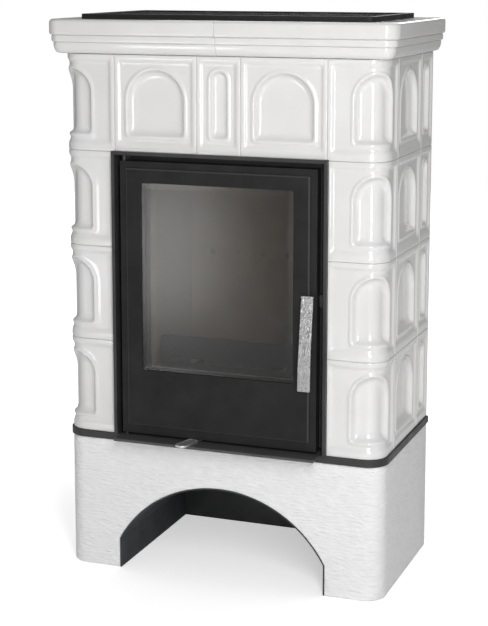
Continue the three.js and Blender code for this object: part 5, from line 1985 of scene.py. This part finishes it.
@dataclass(frozen=True)
class Studio:
    """A pale floor, soft light and the camera at the photograph's viewing angle."""

    camera_at: Place = (1.2006, -3.2139, 1.300)
    yaw_degrees: float = 20.623
    pitch_degrees: float = 9.135
    lens: float = 91.87
    shift_y: float = -0.14
    ambient: float = 0.29
    mirrored: float = 0.25
    floor_tone: float = 0.90
    floor_reach: float = 6.0
    floor_lift: float = 0.5
    floor_mirrored: float = 0.08
    floor_sides: int = 64
    floor_drop: float = 0.0002
    glow_reach: tuple[float, float] = (0.45, 1.3)
    lamps: tuple[Lamp, ...] = (
        Lamp("key", (1.08, -2.15, 1.35), (0.05, 0.0, 0.62), (0.42, 2.0), 38.5),
        Lamp("left", (-1.13, -2.5, 0.29), (0.0, 0.0, 0.6), (0.38, 0.52), 3.4),
        Lamp("back", (-0.5, 2.8, 2.4), (0.0, 0.0, 0.7), (2.0, 1.4), 30.0),
    )

    def build(self) -> None:
        """Makes the camera, the lamps, the world and the floor."""
        self._camera()
        self._world()
        for lamp in self.lamps:
            lamp.build()
        self._floor()

    def _camera(self) -> None:
        """The camera: turned to the left by the yaw, and down by the pitch."""
        data = bpy.data.cameras.new("camera")
        data.lens = self.lens
        data.shift_y = self.shift_y
        data.clip_start, data.clip_end = 0.05, 60.0
        camera = bpy.data.objects.new("camera", data)
        camera.location = self.camera_at
        camera.rotation_euler = (math.radians(90 - self.pitch_degrees), 0.0, math.radians(self.yaw_degrees))
        bpy.context.scene.collection.objects.link(camera)
        bpy.context.scene.camera = camera
        bpy.context.scene.view_settings.view_transform = "Standard"

    def _world(self) -> None:
        """White where the camera or glass looks past the stove, and soft grey light.

        A reflection sees a grey between the two, as in a studio whose white paper ends out of view.
        """
        world = bpy.data.worlds.new("studio")
        world.use_nodes = True
        bpy.context.scene.world = world
        nodes, links = world.node_tree.nodes, world.node_tree.links
        background = nodes["Background"]
        background.inputs["Color"].default_value = (1, 1, 1, 1)
        rays = nodes.new("ShaderNodeLightPath")
        seen = nodes.new("ShaderNodeMath")
        seen.operation = "MAXIMUM"
        mirrored = nodes.new("ShaderNodeMapRange")
        mirrored.inputs["To Min"].default_value = self.ambient
        mirrored.inputs["To Max"].default_value = self.mirrored
        level = nodes.new("ShaderNodeMix")
        level.inputs["B"].default_value = 1.0
        wire(
            links,
            (rays, "Is Camera Ray", seen, 0),
            (rays, "Is Transmission Ray", seen, 1),
            (rays, "Is Glossy Ray", mirrored, "Value"),
            (seen, 0, level, "Factor"),
            (mirrored, "Result", level, "A"),
            (level, "Result", background, "Strength"),
        )

    def _floor(self) -> None:
        """A large round floor, level with the plinth's foot."""
        angle = np.linspace(0, 2 * np.pi, self.floor_sides + 1)[:-1]
        rings = np.array([0.0, 0.3, 0.6, 1.0])[:, None] * self.floor_reach
        level = np.full((len(rings), len(angle)), -self.floor_drop)
        points = np.dstack([rings * np.cos(angle), rings * np.sin(angle), level])
        floor = new_piece("floor", points.reshape(-1, 3), grid_triangles(*level.shape)[:, ::-1])
        floor.data.materials.append(self._floor_paint())

    def _floor_paint(self) -> bpy.types.Material:
        """Matt near-white that keeps a shadow, lifted to plain white for the camera further out.

        What the camera sees of it gets a glow, which grows with the distance from the stove until it
        is white, and what a reflection sees gets a share of that.

        Returns:
            The floor's material.
        """
        wiring = Wiring("floor")
        wiring.set(Base_Color=grey(self.floor_tone), Roughness=0.9, Emission_Color=(1, 1, 1, 1))
        nodes, links = wiring.tree.nodes, wiring.tree.links
        place = nodes.new("ShaderNodeTexCoord")
        reach = nodes.new("ShaderNodeVectorMath")
        reach.operation = "LENGTH"
        glow = nodes.new("ShaderNodeMapRange")
        glow.interpolation_type = "SMOOTHSTEP"
        glow.inputs["From Min"].default_value, glow.inputs["From Max"].default_value = self.glow_reach
        glow.inputs["To Min"].default_value = self.floor_lift
        rays = nodes.new("ShaderNodeLightPath")
        mirrored = nodes.new("ShaderNodeMath")
        mirrored.operation = "MULTIPLY"
        mirrored.inputs[1].default_value = self.floor_mirrored
        seen = nodes.new("ShaderNodeMath")
        seen.operation = "MAXIMUM"
        gated = nodes.new("ShaderNodeMath")
        gated.operation = "MULTIPLY"
        wire(
            links,
            (place, "Object", reach, 0),
            (reach, "Value", glow, "Value"),
            (rays, "Is Glossy Ray", mirrored, 0),
            (rays, "Is Camera Ray", seen, 0),
            (mirrored, 0, seen, 1),
            (glow, "Result", gated, 0),
            (seen, 0, gated, 1),
        )
        wiring.feed(gated.outputs[0], "Emission Strength")
        return wiring.material


def main() -> None:
    """Builds the stove's looks, sub-assembly by sub-assembly."""
    logging.basicConfig(level=logging.INFO, format="%(name)s: %(message)s")
    size = Frame.read()
    Studio().build()
    palette = Palette()
    TileJacket(size).build(palette)
    Cornice(size).build(palette)
    Plinth(size).build(palette)
    TopGrille().build(palette)
    DoorGlass().build(palette)
    FrontPlate().build(palette)
    AirLever().build(palette)
    DoorHandle().build(palette)
    Flue().build(palette)
    EdgeStrips().build(palette)
    PanelScrews().build(palette)

    finishes = {
        "base_plate": (palette.sheet_paint, 0.0015),
        "front_frame": (palette.sheet_paint, 0.0008),
        "sill": (palette.sill_sheen_paint, 0.0008),
        "door_frame": (palette.paint, 0.0006),
        "log_guard": (palette.iron, 0.0005),
        "grate": (palette.iron, 0.0005),
    }
    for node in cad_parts:
        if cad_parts[node].hide_render:
            continue
        if node in finishes:
            dress_node(node, *finishes[node])
        elif node.startswith(("lining", "baffle", "hearth")):
            dress_node(node, palette.fireclay, 0.001)
        else:
            dress_node(node, palette.steel, 0.0005)


if __name__ == "__main__":
    main()
